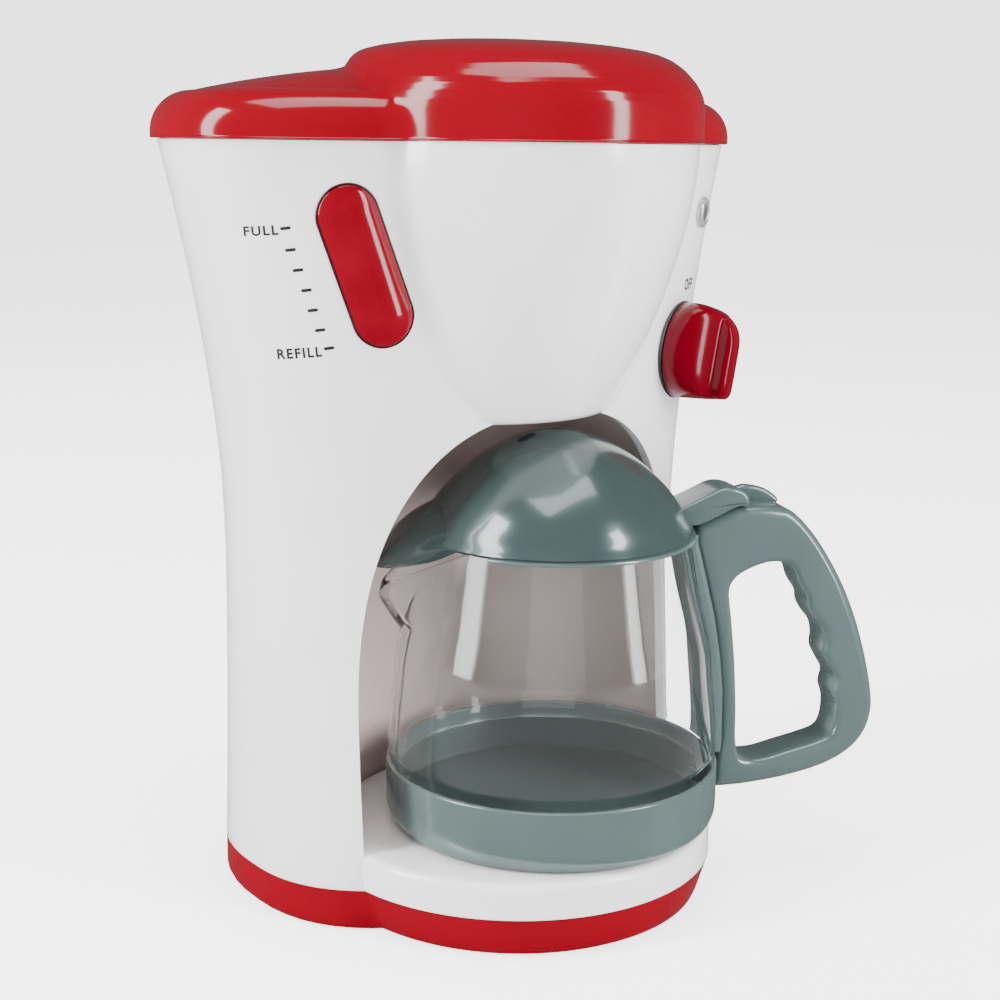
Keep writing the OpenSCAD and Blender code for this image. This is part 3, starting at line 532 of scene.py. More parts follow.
@dataclass
class FinishShop:
    """Builds the shared node groups and the materials, each once."""

    bump_strength: float = 0.35
    coat_roughness: float = 0.06
    scatter_mm: float = 3.0

    def __post_init__(self) -> None:
        """Start with no materials and build the two shared groups."""
        self._made: dict[Finish, bpy.types.Material] = {}
        self._mottle = self._mottle_group()
        self._grain = self._grain_group()

    @staticmethod
    def _socket(group: bpy.types.NodeTree, name: str, way: str, kind: str, value: object = None) -> None:
        """Add one named socket to a group.

        Args:
            group: the node group.
            name: the socket's name.
            way: INPUT or OUTPUT.
            kind: its socket type.
            value: what an input holds when nothing is linked to it.
        """
        sock = group.interface.new_socket(name=name, in_out=way, socket_type=kind)
        if value is not None:
            sock.default_value = value

    def _mottle_group(self) -> bpy.types.NodeTree:
        """Build the group that drifts slowly between two colours and two roughnesses, as moulded plastic does.

        Returns:
            The node group, which gives a colour and a roughness.
        """
        g = bpy.data.node_groups.new("flow_mottle", "ShaderNodeTree")
        for name, value in (("Colour", (0.8, 0.8, 0.8, 1)), ("Tint", (0.7, 0.7, 0.7, 1))):
            self._socket(g, name, "INPUT", "NodeSocketColor", value)
        for name, value in (("Scale", 40.0), ("Roughness", 0.3), ("Spread", 0.1), ("Streaks", 0.0)):
            self._socket(g, name, "INPUT", "NodeSocketFloat", value)
        self._socket(g, "Colour", "OUTPUT", "NodeSocketColor")
        self._socket(g, "Roughness", "OUTPUT", "NodeSocketFloat")
        n, link = g.nodes, g.links.new
        inp, out = n.new("NodeGroupInput"), n.new("NodeGroupOutput")
        coord = n.new("ShaderNodeTexCoord")
        noise = n.new("ShaderNodeTexNoise")
        fill(noise, {"Detail": 3.0, "Roughness": 0.55})
        ramp = n.new("ShaderNodeMapRange")
        fill(ramp, {"From Min": 0.35, "From Max": 0.68})
        mix = n.new("ShaderNodeMix")
        mix.data_type = "RGBA"
        smear = n.new("ShaderNodeTexNoise")
        fill(smear, {"Detail": 5.0, "Roughness": 0.7})
        stretch = n.new("ShaderNodeMapping")
        fill(stretch, {"Scale": (1.0, 1.0, 0.12)})
        blend = n.new("ShaderNodeMix")
        blend.data_type = "FLOAT"
        rough = n.new("ShaderNodeMath")
        rough.operation = "MULTIPLY_ADD"
        centre = n.new("ShaderNodeMath")
        centre.operation = "SUBTRACT"
        fill(centre, {1: 0.5})
        link(coord.outputs["Object"], noise.inputs["Vector"])
        link(inp.outputs["Scale"], noise.inputs["Scale"])
        link(noise.outputs["Fac"], ramp.inputs["Value"])
        link(ramp.outputs["Result"], mix.inputs["Factor"])
        link(inp.outputs["Colour"], mix.inputs["A"])
        link(inp.outputs["Tint"], mix.inputs["B"])
        link(coord.outputs["Object"], stretch.inputs["Vector"])
        link(stretch.outputs["Vector"], smear.inputs["Vector"])
        link(inp.outputs["Scale"], smear.inputs["Scale"])
        link(inp.outputs["Streaks"], blend.inputs["Factor"])
        link(noise.outputs["Fac"], blend.inputs["A"])
        link(smear.outputs["Fac"], blend.inputs["B"])
        link(blend.outputs["Result"], centre.inputs[0])
        link(centre.outputs["Value"], rough.inputs[0])
        link(inp.outputs["Spread"], rough.inputs[1])
        link(inp.outputs["Roughness"], rough.inputs[2])
        link(mix.outputs["Result"], out.inputs["Colour"])
        link(rough.outputs["Value"], out.inputs["Roughness"])
        return g

    def _grain_group(self) -> bpy.types.NodeTree:
        """Build the group of a fine moulded grain with a slow ripple under it.

        Returns:
            The node group, which gives a height.
        """
        g = bpy.data.node_groups.new("mould_grain", "ShaderNodeTree")
        self._socket(g, "Grain", "INPUT", "NodeSocketFloat", 800.0)
        self._socket(g, "Ripple", "INPUT", "NodeSocketFloat", 40.0)
        self._socket(g, "Height", "OUTPUT", "NodeSocketFloat")
        n, link = g.nodes, g.links.new
        inp, out = n.new("NodeGroupInput"), n.new("NodeGroupOutput")
        coord = n.new("ShaderNodeTexCoord")
        fine, slow = n.new("ShaderNodeTexNoise"), n.new("ShaderNodeTexNoise")
        fill(fine, {"Detail": 2.0})
        fill(slow, {"Detail": 1.0})
        add = n.new("ShaderNodeMath")
        add.operation = "MULTIPLY_ADD"
        fill(add, {1: 0.35})
        for node, key in ((fine, "Grain"), (slow, "Ripple")):
            link(coord.outputs["Object"], node.inputs["Vector"])
            link(inp.outputs[key], node.inputs["Scale"])
        link(fine.outputs["Fac"], add.inputs[0])
        link(slow.outputs["Fac"], add.inputs[2])
        link(add.outputs["Value"], out.inputs["Height"])
        return g

    def get(self, finish: Finish) -> bpy.types.Material:
        """Look up the material of a finish, and build it the first time.

        Args:
            finish: the finish.

        Returns:
            Its material.
        """
        if finish in self._made:
            return self._made[finish]
        m = FINISHES[finish]
        mat = bpy.data.materials.new(finish.value)
        mat.use_nodes = True
        tree = mat.node_tree
        n, link = tree.nodes, tree.links.new
        bsdf = n["Principled BSDF"]
        mottle = n.new("ShaderNodeGroup")
        mottle.node_tree = self._mottle
        fill(mottle, {"Colour": (*m.colour, 1), "Tint": (*m.tint, 1), "Scale": 1000.0 / m.mottle_mm,
                      "Roughness": m.roughness, "Spread": m.spread, "Streaks": m.streaks})
        grain = n.new("ShaderNodeGroup")
        grain.node_tree = self._grain
        fill(grain, {"Grain": 1000.0 / m.grain_mm, "Ripple": 1000.0 / m.mottle_mm})
        bump = n.new("ShaderNodeBump")
        fill(bump, {"Strength": self.bump_strength, "Distance": m.grain_depth * MM})
        link(grain.outputs["Height"], bump.inputs["Height"])
        link(bump.outputs["Normal"], bsdf.inputs["Normal"])
        link(mottle.outputs["Colour"], bsdf.inputs["Base Color"])
        link(mottle.outputs["Roughness"], bsdf.inputs["Roughness"])
        fill(bsdf, {"Metallic": m.metallic, "IOR": m.ior, "Specular IOR Level": m.specular, "Coat Weight": m.coat,
                    "Coat Roughness": self.coat_roughness, "Transmission Weight": m.transmission})
        if m.subsurface > 0:
            fill(bsdf, {"Subsurface Weight": m.subsurface, "Subsurface Radius": (self.scatter_mm * MM,) * 3})
        self._made[finish] = mat
        return mat


@dataclass
class Bench:
    """What every sub-assembly needs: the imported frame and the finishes."""

    frame: dict
    shop: FinishShop

    def dress(self, obj: bpy.types.Object, finish: Finish, body: str, *replaced: str) -> bpy.types.Object:
        """Give a piece its finish, body and the nodes it stands for.

        Args:
            obj: the finished piece.
            finish: what it is made of.
            body: the moving body it rides on.
            replaced: frame nodes that it stands for.

        Returns:
            The same object.
        """
        obj.data.materials.clear()
        obj.data.materials.append(self.shop.get(finish))
        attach(obj, body)
        if replaced:
            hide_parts(*replaced)
        SLOT_OF.get(finish, finish).value
        LOG.info("piece %s rides on %s", obj.name, body)
        return obj

    def keep(self, node: str, finish: Finish) -> None:
        """Give a frame node its finish and leave its shape alone.

        Args:
            node: the frame node.
            finish: what it is made of.
        """
        obj = self.frame["nodes"][node]
        mat = self.shop.get(finish)
        if obj.material_slots:
            for slot in obj.material_slots:
                slot.material = mat
        else:
            obj.data.materials.append(mat)
        LOG.info("node %s keeps its shape", node)

    def refined(self, node: str, name: str, finish: Finish, body: str, degrees: float = 32.0,
                bevel: float = 0.0) -> bpy.types.Object:
        """Stand a merged, smooth-shaded copy in for a frame node.

        Args:
            node: the frame node.
            name: the piece's name.
            finish: what it is made of.
            body: the moving body it rides on.
            degrees: edges sharper than this stay sharp.
            bevel: rounding of those edges in millimetres, or 0 for none.

        Returns:
            The new piece.
        """
        mesh = self.frame["nodes"][node].data.copy()
        mesh.name = name
        obj = smooth_shaded(in_scene(name, welded(mesh, 0.002, flat_degrees=0.3)), degrees)
        if bevel > 0:
            softened(obj, bevel, 2, max(degrees, 40.0))
        return self.dress(obj, finish, body, node)


# ------------------------------------------------------------------------------------------------- the body's form
@dataclass(frozen=True)
class BodyForm:
    """The moulded two-lobe form: an oval tower with a brew funnel that leans out of its front.

    The tower's half width, front and back are given at its base, waist and top. The funnel's radius and centre are
    given at its underside and at the top, and the recess is an upright cylinder that closes in as an arch.
    """

    base_half: float = 66.5
    waist_half: float = 65.5
    top_half: float = 82.5
    base_front: float = 19.5
    waist_front: float = 12.0
    base_back: float = 77.0
    waist_back: float = 73.0
    top_back: float = 76.0
    waist_z: float = 95.0
    top_z: float = 196.0
    seam_z: float = 10.7
    foot_r: float = 52.5
    plate_z: float = 20.0
    wall: float = 2.4
    split_y: float = 50.0
    centre_y: float = 25.0
    square: float = 2.4
    funnel_z: float = 127.3
    funnel_low_r: float = 34.0
    funnel_top_r: float = 45.0
    funnel_low_y: float = 17.0
    funnel_top_y: float = 1.5
    bay_r: float = 52.0
    bay_y: float = -8.0
    bay_spring: float = 50.0
    eye_y: float = 20.0
    flare_power: float = 1.6
    lean_power: float = 1.7
    lip_r: float = 1.8
    arch_power: float = 2.6
    arch_rise: float = 2.2
    crease_low: float = 0.3
    crease_more: float = 3.2
    crease_fade: float = 22.0

    def _flare(self, z: Array, low: float, mid: float, high: float) -> Array:
        """Let a size change with height: by a square law below the waist and by the flare's power above it.

        Args:
            z: heights.
            low: the size at the floor.
            mid: the size at the waist.
            high: the size at the top.

        Returns:
            The size at each height.
        """
        below = np.clip((self.waist_z - z) / self.waist_z, 0, None)
        above = np.clip((z - self.waist_z) / (self.top_z - self.waist_z), 0, None)
        return np.where(z < self.waist_z, mid + (low - mid) * below**2, mid + (high - mid) * above**self.flare_power)

    def half(self, z: Array) -> Array:
        """Return the tower's half width at a height."""
        return self._flare(np.asarray(z, float), self.base_half, self.waist_half, self.top_half)

    def front(self, z: Array) -> Array:
        """Return the tower's depth in front of its widest line."""
        return self._flare(np.asarray(z, float), self.base_front, self.waist_front, self.waist_front) + self.centre_y

    def back(self, z: Array) -> Array:
        """Return the tower's depth behind its widest line."""
        return self._flare(np.asarray(z, float), self.base_back, self.waist_back, self.top_back) - self.centre_y

    def oval(self, x: Array, y: Array, a: Array, front: Array, back: Array) -> Array:
        """Measure from the oval |x/a|^n + |y/b|^n = 1, as the value there over its slope.

        Args:
            x: distances to the right.
            y: distances to the back.
            a: the oval's half width.
            front: its depth in front of the widest line.
            back: its depth behind the widest line.

        Returns:
            The rough distance outside the oval.
        """
        yy = y - self.centre_y
        b = np.where(yy > 0, back, front)
        n = self.square
        u, v = np.abs(x) / a + 1e-9, np.abs(yy) / b + 1e-9
        s = u**n + v**n
        slope = s ** (1 / n - 1) * np.hypot(u ** (n - 1) / a, v ** (n - 1) / b)
        return (s ** (1 / n) - 1) / slope

    def tower(self, x: Array, y: Array, z: Array, inset: float = 0.0) -> Array:
        """Return the rough distance outside the tower alone."""
        return self.oval(x, y, self.half(z) - inset, self.front(z) - inset, self.back(z) - inset)

    def funnel_ring(self, z: Array) -> tuple[Array, Array]:
        """Find the funnel's circle at a height; its centre and radius ease in by the lean's power.

        Args:
            z: heights.

        Returns:
            The centre's y and the radius, less the rounding of the lip near the underside.
        """
        t = np.clip((np.asarray(z, float) - self.funnel_z) / (self.top_z - self.funnel_z), 0, 1)
        ease = (1 - t) ** self.lean_power
        yc = self.funnel_top_y + (self.funnel_low_y - self.funnel_top_y) * ease
        r = self.funnel_low_r + (self.funnel_top_r - self.funnel_low_r) * (1 - ease)
        drop = np.clip((self.funnel_z + self.lip_r - z) / self.lip_r, 0, 1)
        return yc, r - self.lip_r * (1 - np.sqrt(1 - drop**2))

    def funnel(self, x: Array, y: Array, z: Array) -> Array:
        """Return the distance outside the funnel's circle at this height."""
        yc, r = self.funnel_ring(z)
        return np.hypot(x, y - yc) - r

    def shell(self, x: Array, y: Array, z: Array) -> Array:
        """Measure from the whole shell, its crease filled with a soft radius that fades in above the arch.

        Args:
            x: distances to the right.
            y: distances to the back.
            z: heights.

        Returns:
            The rough distance outside the shell.
        """
        k = self.crease_low + self.crease_more * smoothstep(z, self.funnel_z, self.funnel_z + self.crease_fade)
        both = soft_union(self.tower(x, y, z), self.funnel(x, y, z), k)
        return np.where(z >= self.funnel_z - 1e-6, both, self.tower(x, y, z))

    def bay_radius(self, z: Array) -> Array:
        """Find the recess's radius: constant, then closing in as an arch, R(1 - t^p)^(1/p), p the arch's power.

        Args:
            z: heights.

        Returns:
            The radius at each height.
        """
        rise = self.funnel_z + self.arch_rise - self.bay_spring
        t = np.clip((np.asarray(z, float) - self.bay_spring) / rise, 0, 1)
        return self.bay_r * (1 - t**self.arch_power) ** (1 / self.arch_power)

    def oval_point(self, z: Array, t: Array, inset: Array | float = 0.0) -> tuple[Array, Array]:
        """Find the point of the tower's plan at a parameter: (a cos^(2/n) t, b sin^(2/n) t), signs kept.

        Args:
            z: heights.
            t: the parameter in radians.
            inset: how far inside the skin.

        Returns:
            The points' x and y.
        """
        c, s = np.cos(t), np.sin(t)
        e = 2 / self.square
        depth = np.where(s > 0, self.back(z), self.front(z)) - inset
        x = (self.half(z) - inset) * np.sign(c) * np.abs(c) ** e
        return x, self.centre_y + depth * np.sign(s) * np.abs(s) ** e

    def split_t(self, z: Array) -> Array:
        """Return the plan parameter where the two shells meet."""
        return np.arcsin(((self.split_y - self.centre_y) / self.back(z)) ** (self.square / 2))

    def edge_t(self, z: Array, inset: float = 0.0, widen: float = 0.0) -> Array:
        """Find where the tower's right side meets the recess or, above it, the funnel.

        Args:
            z: heights.
            inset: how far inside the tower's skin to look.
            widen: how much wider than the recess to look.

        Returns:
            The plan parameter at each height.
        """
        z = np.asarray(z, float)

        def outside(t: Array) -> Array:
            """Return the distance outside the recess or funnel, whichever is nearer."""
            x, y = self.oval_point(z, t, inset)
            bay = np.hypot(x, y - self.bay_y) - self.bay_radius(z) - widen
            return np.where(z < self.funnel_z, bay, np.minimum(bay, self.funnel(x, y, z)))

        return bisect(outside, np.full(z.shape, -np.pi / 2), np.zeros(z.shape))

    def crease_t(self, z: Array) -> Array:
        """Return the plan parameter, on the right side, of the crease between the funnel and the tower."""
        low, high = np.full(z.shape, -np.pi / 2), np.zeros(z.shape)
        return bisect(lambda t: self.funnel(*self.oval_point(z, t), z), low, high)

    def cast(self, f: Callable[[Array, Array, Array], Array], phi: Array, z: Array) -> Array:
        """Return the points where level rays from the eye line leave a form.

        Args:
            f: distance outside the form.
            phi: ray directions in radians.
            z: ray heights.

        Returns:
            The points, with the shape of phi and a last axis of 3.
        """
        c, s = np.cos(phi), np.sin(phi)
        rho = bisect(lambda q: f(q * c, self.eye_y + q * s, z), np.full(phi.shape, 0.5), np.full(phi.shape, REACH_MM))
        return np.stack([rho * c, self.eye_y + rho * s, z + 0 * rho], -1)


FORM = BodyForm()


def turn_about(x: float, z: float, azimuth: float, lean: float = 3.5, spin: float = 0.0) -> Matrix:
    """Return the placing of a fitting on the front panels.

    Args:
        x: its distance to the right.
        z: its height.
        azimuth: how far it faces to the right, in degrees.
        lean: how far it looks down, in degrees.
        spin: its turn about its own axis, in degrees.

    Returns:
        The matrix from the fitting's own frame, Z outwards and Y up, to the object's frame, in millimetres.
    """
    zz = np.array([float(z)])
    b = float(FORM.front(zz)[0])
    y = FORM.centre_y - b * (1 - (abs(x) / float(FORM.half(zz)[0])) ** FORM.square) ** (1 / FORM.square)
    return (Matrix.Translation((x, y, z)) @ Matrix.Rotation(math.radians(azimuth), 4, "Z")
            @ Matrix.Rotation(math.radians(90 + lean), 4, "X") @ Matrix.Rotation(math.radians(spin), 4, "Z"))


def on_skin(points: Array, placed: Matrix, lift: Array | float) -> Array:
    """Lay flat points on the shell.

    Args:
        points: local (x, y) rows in the fitting's frame.
        placed: the fitting's placing.
        lift: height above the shell along the fitting's axis.

    Returns:
        The points in the object's frame: each slides along the axis to the shell, then out by its lift.
    """
    m = np.array(placed)
    axis = m[:3, 2]
    base = points @ m[:3, :2].T + m[:3, 3]

    def outside(q: Array) -> Array:
        """Return the distance outside the shell after sliding by q."""
        p = base + q[:, None] * axis
        return FORM.shell(p[:, 0], p[:, 1], p[:, 2])

    q = bisect(outside, np.full(len(base), -12.0), np.full(len(base), 12.0))
    return base + (q + lift)[:, None] * axis


# ---------------------------------------------------------------------------------------------------- sub-assemblies
@dataclass
class Housing:
    """The white shells, the foot, the funnel's cup and the lining of the recess, whose grey colour is painted shade."""

    bench: Bench
    side_cols: int = 96
    funnel_cols: int = 120
    edge_round: float = 0.7
    foot_wall: float = 2.2
    lining_wall: float = 1.6
    lining_gap: float = 0.3

    def heights(self) -> Array:
        """Set the rows of the front shell, close together where the arch and the funnel's underside turn.

        Returns:
            The rows' heights.
        """
        f = FORM
        low = np.linspace(f.seam_z, 100, 44, endpoint=False)
        mid = np.linspace(100, f.funnel_z - 0.02, 46)
        lip = f.funnel_z + f.lip_r * (1 - np.cos(np.linspace(0, np.pi / 2, 9)))
        high = np.linspace(f.funnel_z + 2.6, f.top_z, 64)
        return np.concatenate([low, mid, lip, high])

    def front_shell(self) -> None:
        """Build the front shell: level rays meet it row by row, left and right of the recess and round the funnel."""
        f = FORM
        z = self.heights()
        ts, te = f.split_t(z), f.edge_t(z)
        w = 1 - (1 - np.linspace(0, 1, self.side_cols)) ** 1.5
        xs, ys = f.oval_point(z, ts)
        xe, ye = f.oval_point(z, te)
        phi_s = np.arctan2(ys - f.eye_y, xs)
        phi_e = np.arctan2(ye - f.eye_y, xe)
        side = phi_s[:, None] + (phi_e - phi_s)[:, None] * w[None, :]
        zz = z[:, None] + 0 * side
        right = f.cast(f.shell, side, zz)
        left = right * np.array([-1.0, 1.0, 1.0])
        top = z >= f.funnel_z - 1e-6
        v = np.linspace(0, 1, self.funnel_cols)
        v = 0.5 - 0.5 * np.cos(np.pi * v) * (0.35 + 0.65 * np.abs(np.cos(np.pi * v)))
        xc, yc = f.oval_point(z[top], f.crease_t(z[top]))
        phi_c = np.arctan2(yc - f.eye_y, xc)
        span = phi_c[:, None] + (-np.pi - 2 * phi_c)[:, None] * v[None, :]
        middle = f.cast(f.shell, span, z[top][:, None] + 0 * span)
        surf = Surface().add_grid(right).add_grid(left, flip=True).add_grid(middle)
        obj = softened(thickened(surf.build("front_shell", merge=0.02), f.wall), self.edge_round, 3, 50)
        self.bench.dress(smooth_shaded(obj, 50), Finish.WHITE_SHELL, "body", "front_housing")

    def funnel_cup(self) -> None:
        """Build the funnel's own cup inside the shell: its circles rise outside, and return a wall inside."""
        f = FORM
        z_out = np.concatenate([f.funnel_z + f.lip_r * (1 - np.cos(np.linspace(0.15, np.pi / 2, 7))),
                                np.linspace(f.funnel_z + 3, f.top_z - 0.4, 26)])
        z_in = np.linspace(f.top_z - 0.4, f.funnel_z + f.wall, 24)
        a = np.linspace(0, 2 * np.pi, 132, endpoint=False)

        def rings(z: Array, inset: float) -> Array:
            """Return the funnel's circles at some heights, moved in by a distance."""
            yc, r = f.funnel_ring(z)
            r = (r - inset)[:, None]
            return np.stack([r * np.cos(a), yc[:, None] + r * np.sin(a), z[:, None] + 0 * a], -1)

        grid = np.concatenate([rings(z_out, 0.12), rings(z_in, f.wall)])
        obj = Surface().add_grid(grid, wrap_cols=True, cap_first=True, cap_last=True).build("funnel_cup")
        softened(smooth_shaded(obj, 50), 0.5, 2, 50)
        self.bench.dress(obj, Finish.WHITE_SHELL, "body")

    def foot(self) -> None:
        """Build the round foot and the plate that the jug stands on: a profile with a rounded rim, swept round."""
        f = FORM
        r = f.foot_r
        prof = rounded([[r - 2.4, f.seam_z], [r - 0.1, f.seam_z], [r, f.seam_z + 0.5], [r - 0.1, f.plate_z - 0.2],
                        [r - 4.6, f.plate_z], [0.5, f.plate_z]], [0, 0.2, 0.2, 3.2, 0, 0], 10)
        obj = Surface().add_grid(revolved(prof, 200)[:, ::-1], wrap_cols=True, cap_last=True).build("foot_plate")
        smooth_shaded(thickened(obj, self.foot_wall), 60)
        self.bench.dress(obj, Finish.WHITE_SHELL, "body")

    def lining(self) -> None:
        """Build the lining: arcs of the recess's radius, from one edge of the front shell round to the other."""
        f = FORM
        z = np.concatenate([np.linspace(f.plate_z + 0.05, 60, 14, endpoint=False), np.linspace(60, 118, 40),
                            np.linspace(118.6, f.funnel_z - 0.25, 26)])
        behind, gap = f.wall + 0.2, self.lining_gap
        x, y = f.oval_point(z, f.edge_t(z, behind, gap), behind)
        r = f.bay_radius(z) + gap
        start = np.arctan2(y - f.bay_y, x)
        v = np.linspace(0, 1, 150)
        a = start[:, None] + (np.pi - 2 * start)[:, None] * v[None, :]
        grid = np.stack([r[:, None] * np.cos(a), f.bay_y + r[:, None] * np.sin(a), z[:, None] + 0 * a], -1)
        obj = Surface().add_grid(grid, flip=True).build("recess_lining")
        smooth_shaded(thickened(obj, self.lining_wall, 1.0), 60)
        # The lining's grey colour is painted shade in the recess.
        self.bench.dress(obj, Finish.BAY_GREY_SHADE, "body", "recess_liner")

    @staticmethod
    def shade_as_tower(obj: bpy.types.Object) -> None:
        """Give the corners that lie on the tower its true normals, the slope of its distance, so none bend at holes.

        Args:
            obj: a piece whose skin is partly the tower's.
        """
        mesh = obj.data
        skin_mm, facing = 0.3, 0.94
        co = np.empty(len(mesh.vertices) * 3)
        mesh.vertices.foreach_get("co", co)
        co = co.reshape(-1, 3) / MM
        step = 0.02 * np.eye(3)
        slope = np.stack([FORM.tower(*(co + e).T) - FORM.tower(*(co - e).T) for e in step], -1)
        slope /= np.linalg.norm(slope, axis=1, keepdims=True) + 1e-12
        owner, sides = np.empty(len(mesh.loops), int), np.empty(len(mesh.polygons), int)
        corner, flat = np.empty(len(mesh.loops) * 3), np.empty(len(mesh.polygons) * 3)
        mesh.loops.foreach_get("vertex_index", owner)
        mesh.polygons.foreach_get("loop_total", sides)
        mesh.corner_normals.foreach_get("vector", corner)
        mesh.polygons.foreach_get("normal", flat)
        flat = np.repeat(flat.reshape(-1, 3), sides, axis=0)
        near = (np.abs(FORM.tower(*co.T)) < skin_mm)[owner] & (np.sum(flat * slope[owner], axis=1) > facing)
        normals = np.where(near[:, None], slope[owner], corner.reshape(-1, 3))
        mesh.normals_split_custom_set(normals.tolist())
        LOG.info("%s: %d of %d corners lie on the tower", obj.name, near.sum(), len(near))

    def build(self) -> None:
        """Build and dress all of the housing."""
        self.front_shell()
        self.funnel_cup()
        self.foot()
        self.lining()
        self.shade_as_tower(self.bench.refined("rear_housing", "rear_shell", Finish.WHITE_SHELL, "body", 32))
        self.bench.refined("base_pan", "base_tray", Finish.RED_TRIM, "body", 32)


@dataclass
class Lid:
    """The one-piece red lid: a low crown over the tower that runs into a dome over the funnel.

    The three rows of the dome are the heights, radii and centres of its circles.
    """

    bench: Bench
    low: float = 196.2
    overhang: float = 1.6
    shoulder: float = 10.0
    edge: float = 207.7
    crown: float = 7.5
    wall: float = 2.2
    hinge_y: float = 82.0
    hinge_z: float = 199.0
    knuckle_r: float = 3.6
    knuckle_half: float = 13.6
    web: tuple[float, float] = (77.0, 202.4)
    fan_z: float = 203.0
    crease: tuple[float, float] = (203.0, 210.0)
    dome_z: tuple[float, ...] = (190.0, 203.9, 205.6, 207.6, 209.2, 210.8, 212.3, 213.8, 215.0, 216.2, 217.1, 217.9,
                                 218.5, 219.5, 220.4, 221.0, 221.5, 221.7)
    dome_r: tuple[float, ...] = (46.0, 46.0, 45.85, 45.4, 44.9, 44.3, 43.5, 42.7, 41.7, 40.5, 39.2, 37.6,
                                 35.8, 31.0, 24.5, 17.0, 9.0, 0.0)
    dome_y: tuple[float, ...] = (1.5, 1.5, 1.5, 1.6, 1.9, 2.5, 3.2, 4.1, 4.9, 5.7, 6.5, 7.4,
                                 8.4, 10.3, 12.2, 14.0, 15.8, 17.0)

    def rear(self, x: Array, y: Array, z: Array) -> Array:
        """Measure from the crown: an upright oval wall with a rounded shoulder under a domed top.

        Args:
            x: distances to the right.
            y: distances to the back.
            z: heights.

        Returns:
            The rough distance outside the crown, whose top falls by c rho^2.2 from its middle to its edge.
        """
        f = FORM
        a, fr, bk = (float(v(np.array(f.top_z))) + self.overhang for v in (f.half, f.front, f.back))
        d = f.oval(x, y, a, fr, bk)
        n = f.square
        yy = y - f.centre_y
        b = np.where(yy > 0, bk, fr) - self.shoulder
        rho = np.minimum((np.abs(x / (a - self.shoulder)) ** n + np.abs(yy / b) ** n) ** (1 / n), 1.0)
        top = self.edge + self.crown * (1 - rho**2.2)
        qx, qy = d + self.shoulder, z - top + self.shoulder
        return np.hypot(np.maximum(qx, 0), np.maximum(qy, 0)) + np.minimum(np.maximum(qx, qy), 0) - self.shoulder

    def dome(self, x: Array, y: Array, z: Array) -> Array:
        """Measure from the dome, whose circles shrink and move back as they rise.

        Args:
            x: distances to the right.
            y: distances to the back.
            z: heights.

        Returns:
            The rough distance outside the dome.
        """
        r = np.interp(z, self.dome_z, self.dome_r)
        yc = np.interp(z, self.dome_z, self.dome_y)
        return np.hypot(x, y - yc) - r + np.maximum(z - self.dome_z[-1], 0) * 20

    def solid(self, x: Array, y: Array, z: Array) -> Array:
        """Return the distance outside the lid, its crease softer low on the side than on the top."""
        k = 5.0 - 4.0 * smoothstep(z, *self.crease)
        return soft_union(self.rear(x, y, z), self.dome(x, y, z), k)

    def shell(self) -> None:
        """Build the lid by rays from a point inside: level ones up the side, then a fan of rising ones."""
        f = FORM
        cols, side_rows, top_rows = 300, 12, 90
        phi = np.linspace(0, 2 * np.pi, cols, endpoint=False)[None, :]
        rim = np.array([0.0, 0.35, 0.9])
        z0 = np.concatenate([self.low + rim, np.linspace(self.low + 1.6, self.fan_z, side_rows)])[:, None]
        side = f.cast(self.solid, phi + 0 * z0, z0 + 0 * phi)
        el = np.radians(np.concatenate([np.linspace(0.3, 14, 50), np.linspace(14.6, 88.5, top_rows - 50)]))[:, None]
        c, s = np.cos(phi), np.sin(phi)

        def along(q: Array) -> tuple[Array, Array, Array]:
            """Return the points at a distance q along the fan's rays."""
            return q * c * np.cos(el), f.eye_y + q * s * np.cos(el), self.fan_z + q * np.sin(el)

        shape = np.broadcast(phi, el).shape
        leave = bisect(lambda q: self.solid(*along(q)), np.full(shape, 0.5), np.full(shape, REACH_MM))
        grid = np.concatenate([side, np.stack(along(leave), -1)])
        obj = Surface().add_grid(grid, wrap_cols=True, cap_last=True).build("lid_shell")
        smooth_shaded(softened(thickened(obj, self.wall), 0.6, 3, 60), 60)
        self.bench.dress(obj, Finish.RED_TRIM, "lid", "top_lid")

    def knuckle(self) -> None:
        """Build the hinge knuckle: a slab whose outline is an arc round the pin and a web into the lid's rim."""
        a = np.radians(np.linspace(-150, 60, 40))
        r, half = self.knuckle_r, self.knuckle_half
        barrel = np.column_stack([self.hinge_y + r * np.cos(a), self.hinge_z + r * np.sin(a)])
        outline = resample(np.vstack([barrel, self.web, [self.web[0], self.low + 0.1]]), 120, closed=True)
        grid = slab(outline, -half, half, 0.5)
        swap = Matrix(((0, 0, 1, 0), (1, 0, 0, 0), (0, 1, 0, 0), (0, 0, 0, 1)))
        obj = Surface().add_grid(grid, wrap_cols=True, cap_first=True, cap_last=True).build("lid_knuckle", swap)
        self.bench.dress(smooth_shaded(obj, 40), Finish.RED_TRIM, "lid")

    def build(self) -> None:
        """Build and dress the lid, and finish its pin."""
        self.shell()
        self.knuckle()
        self.bench.keep("lid_hinge_pin", Finish.STEEL)


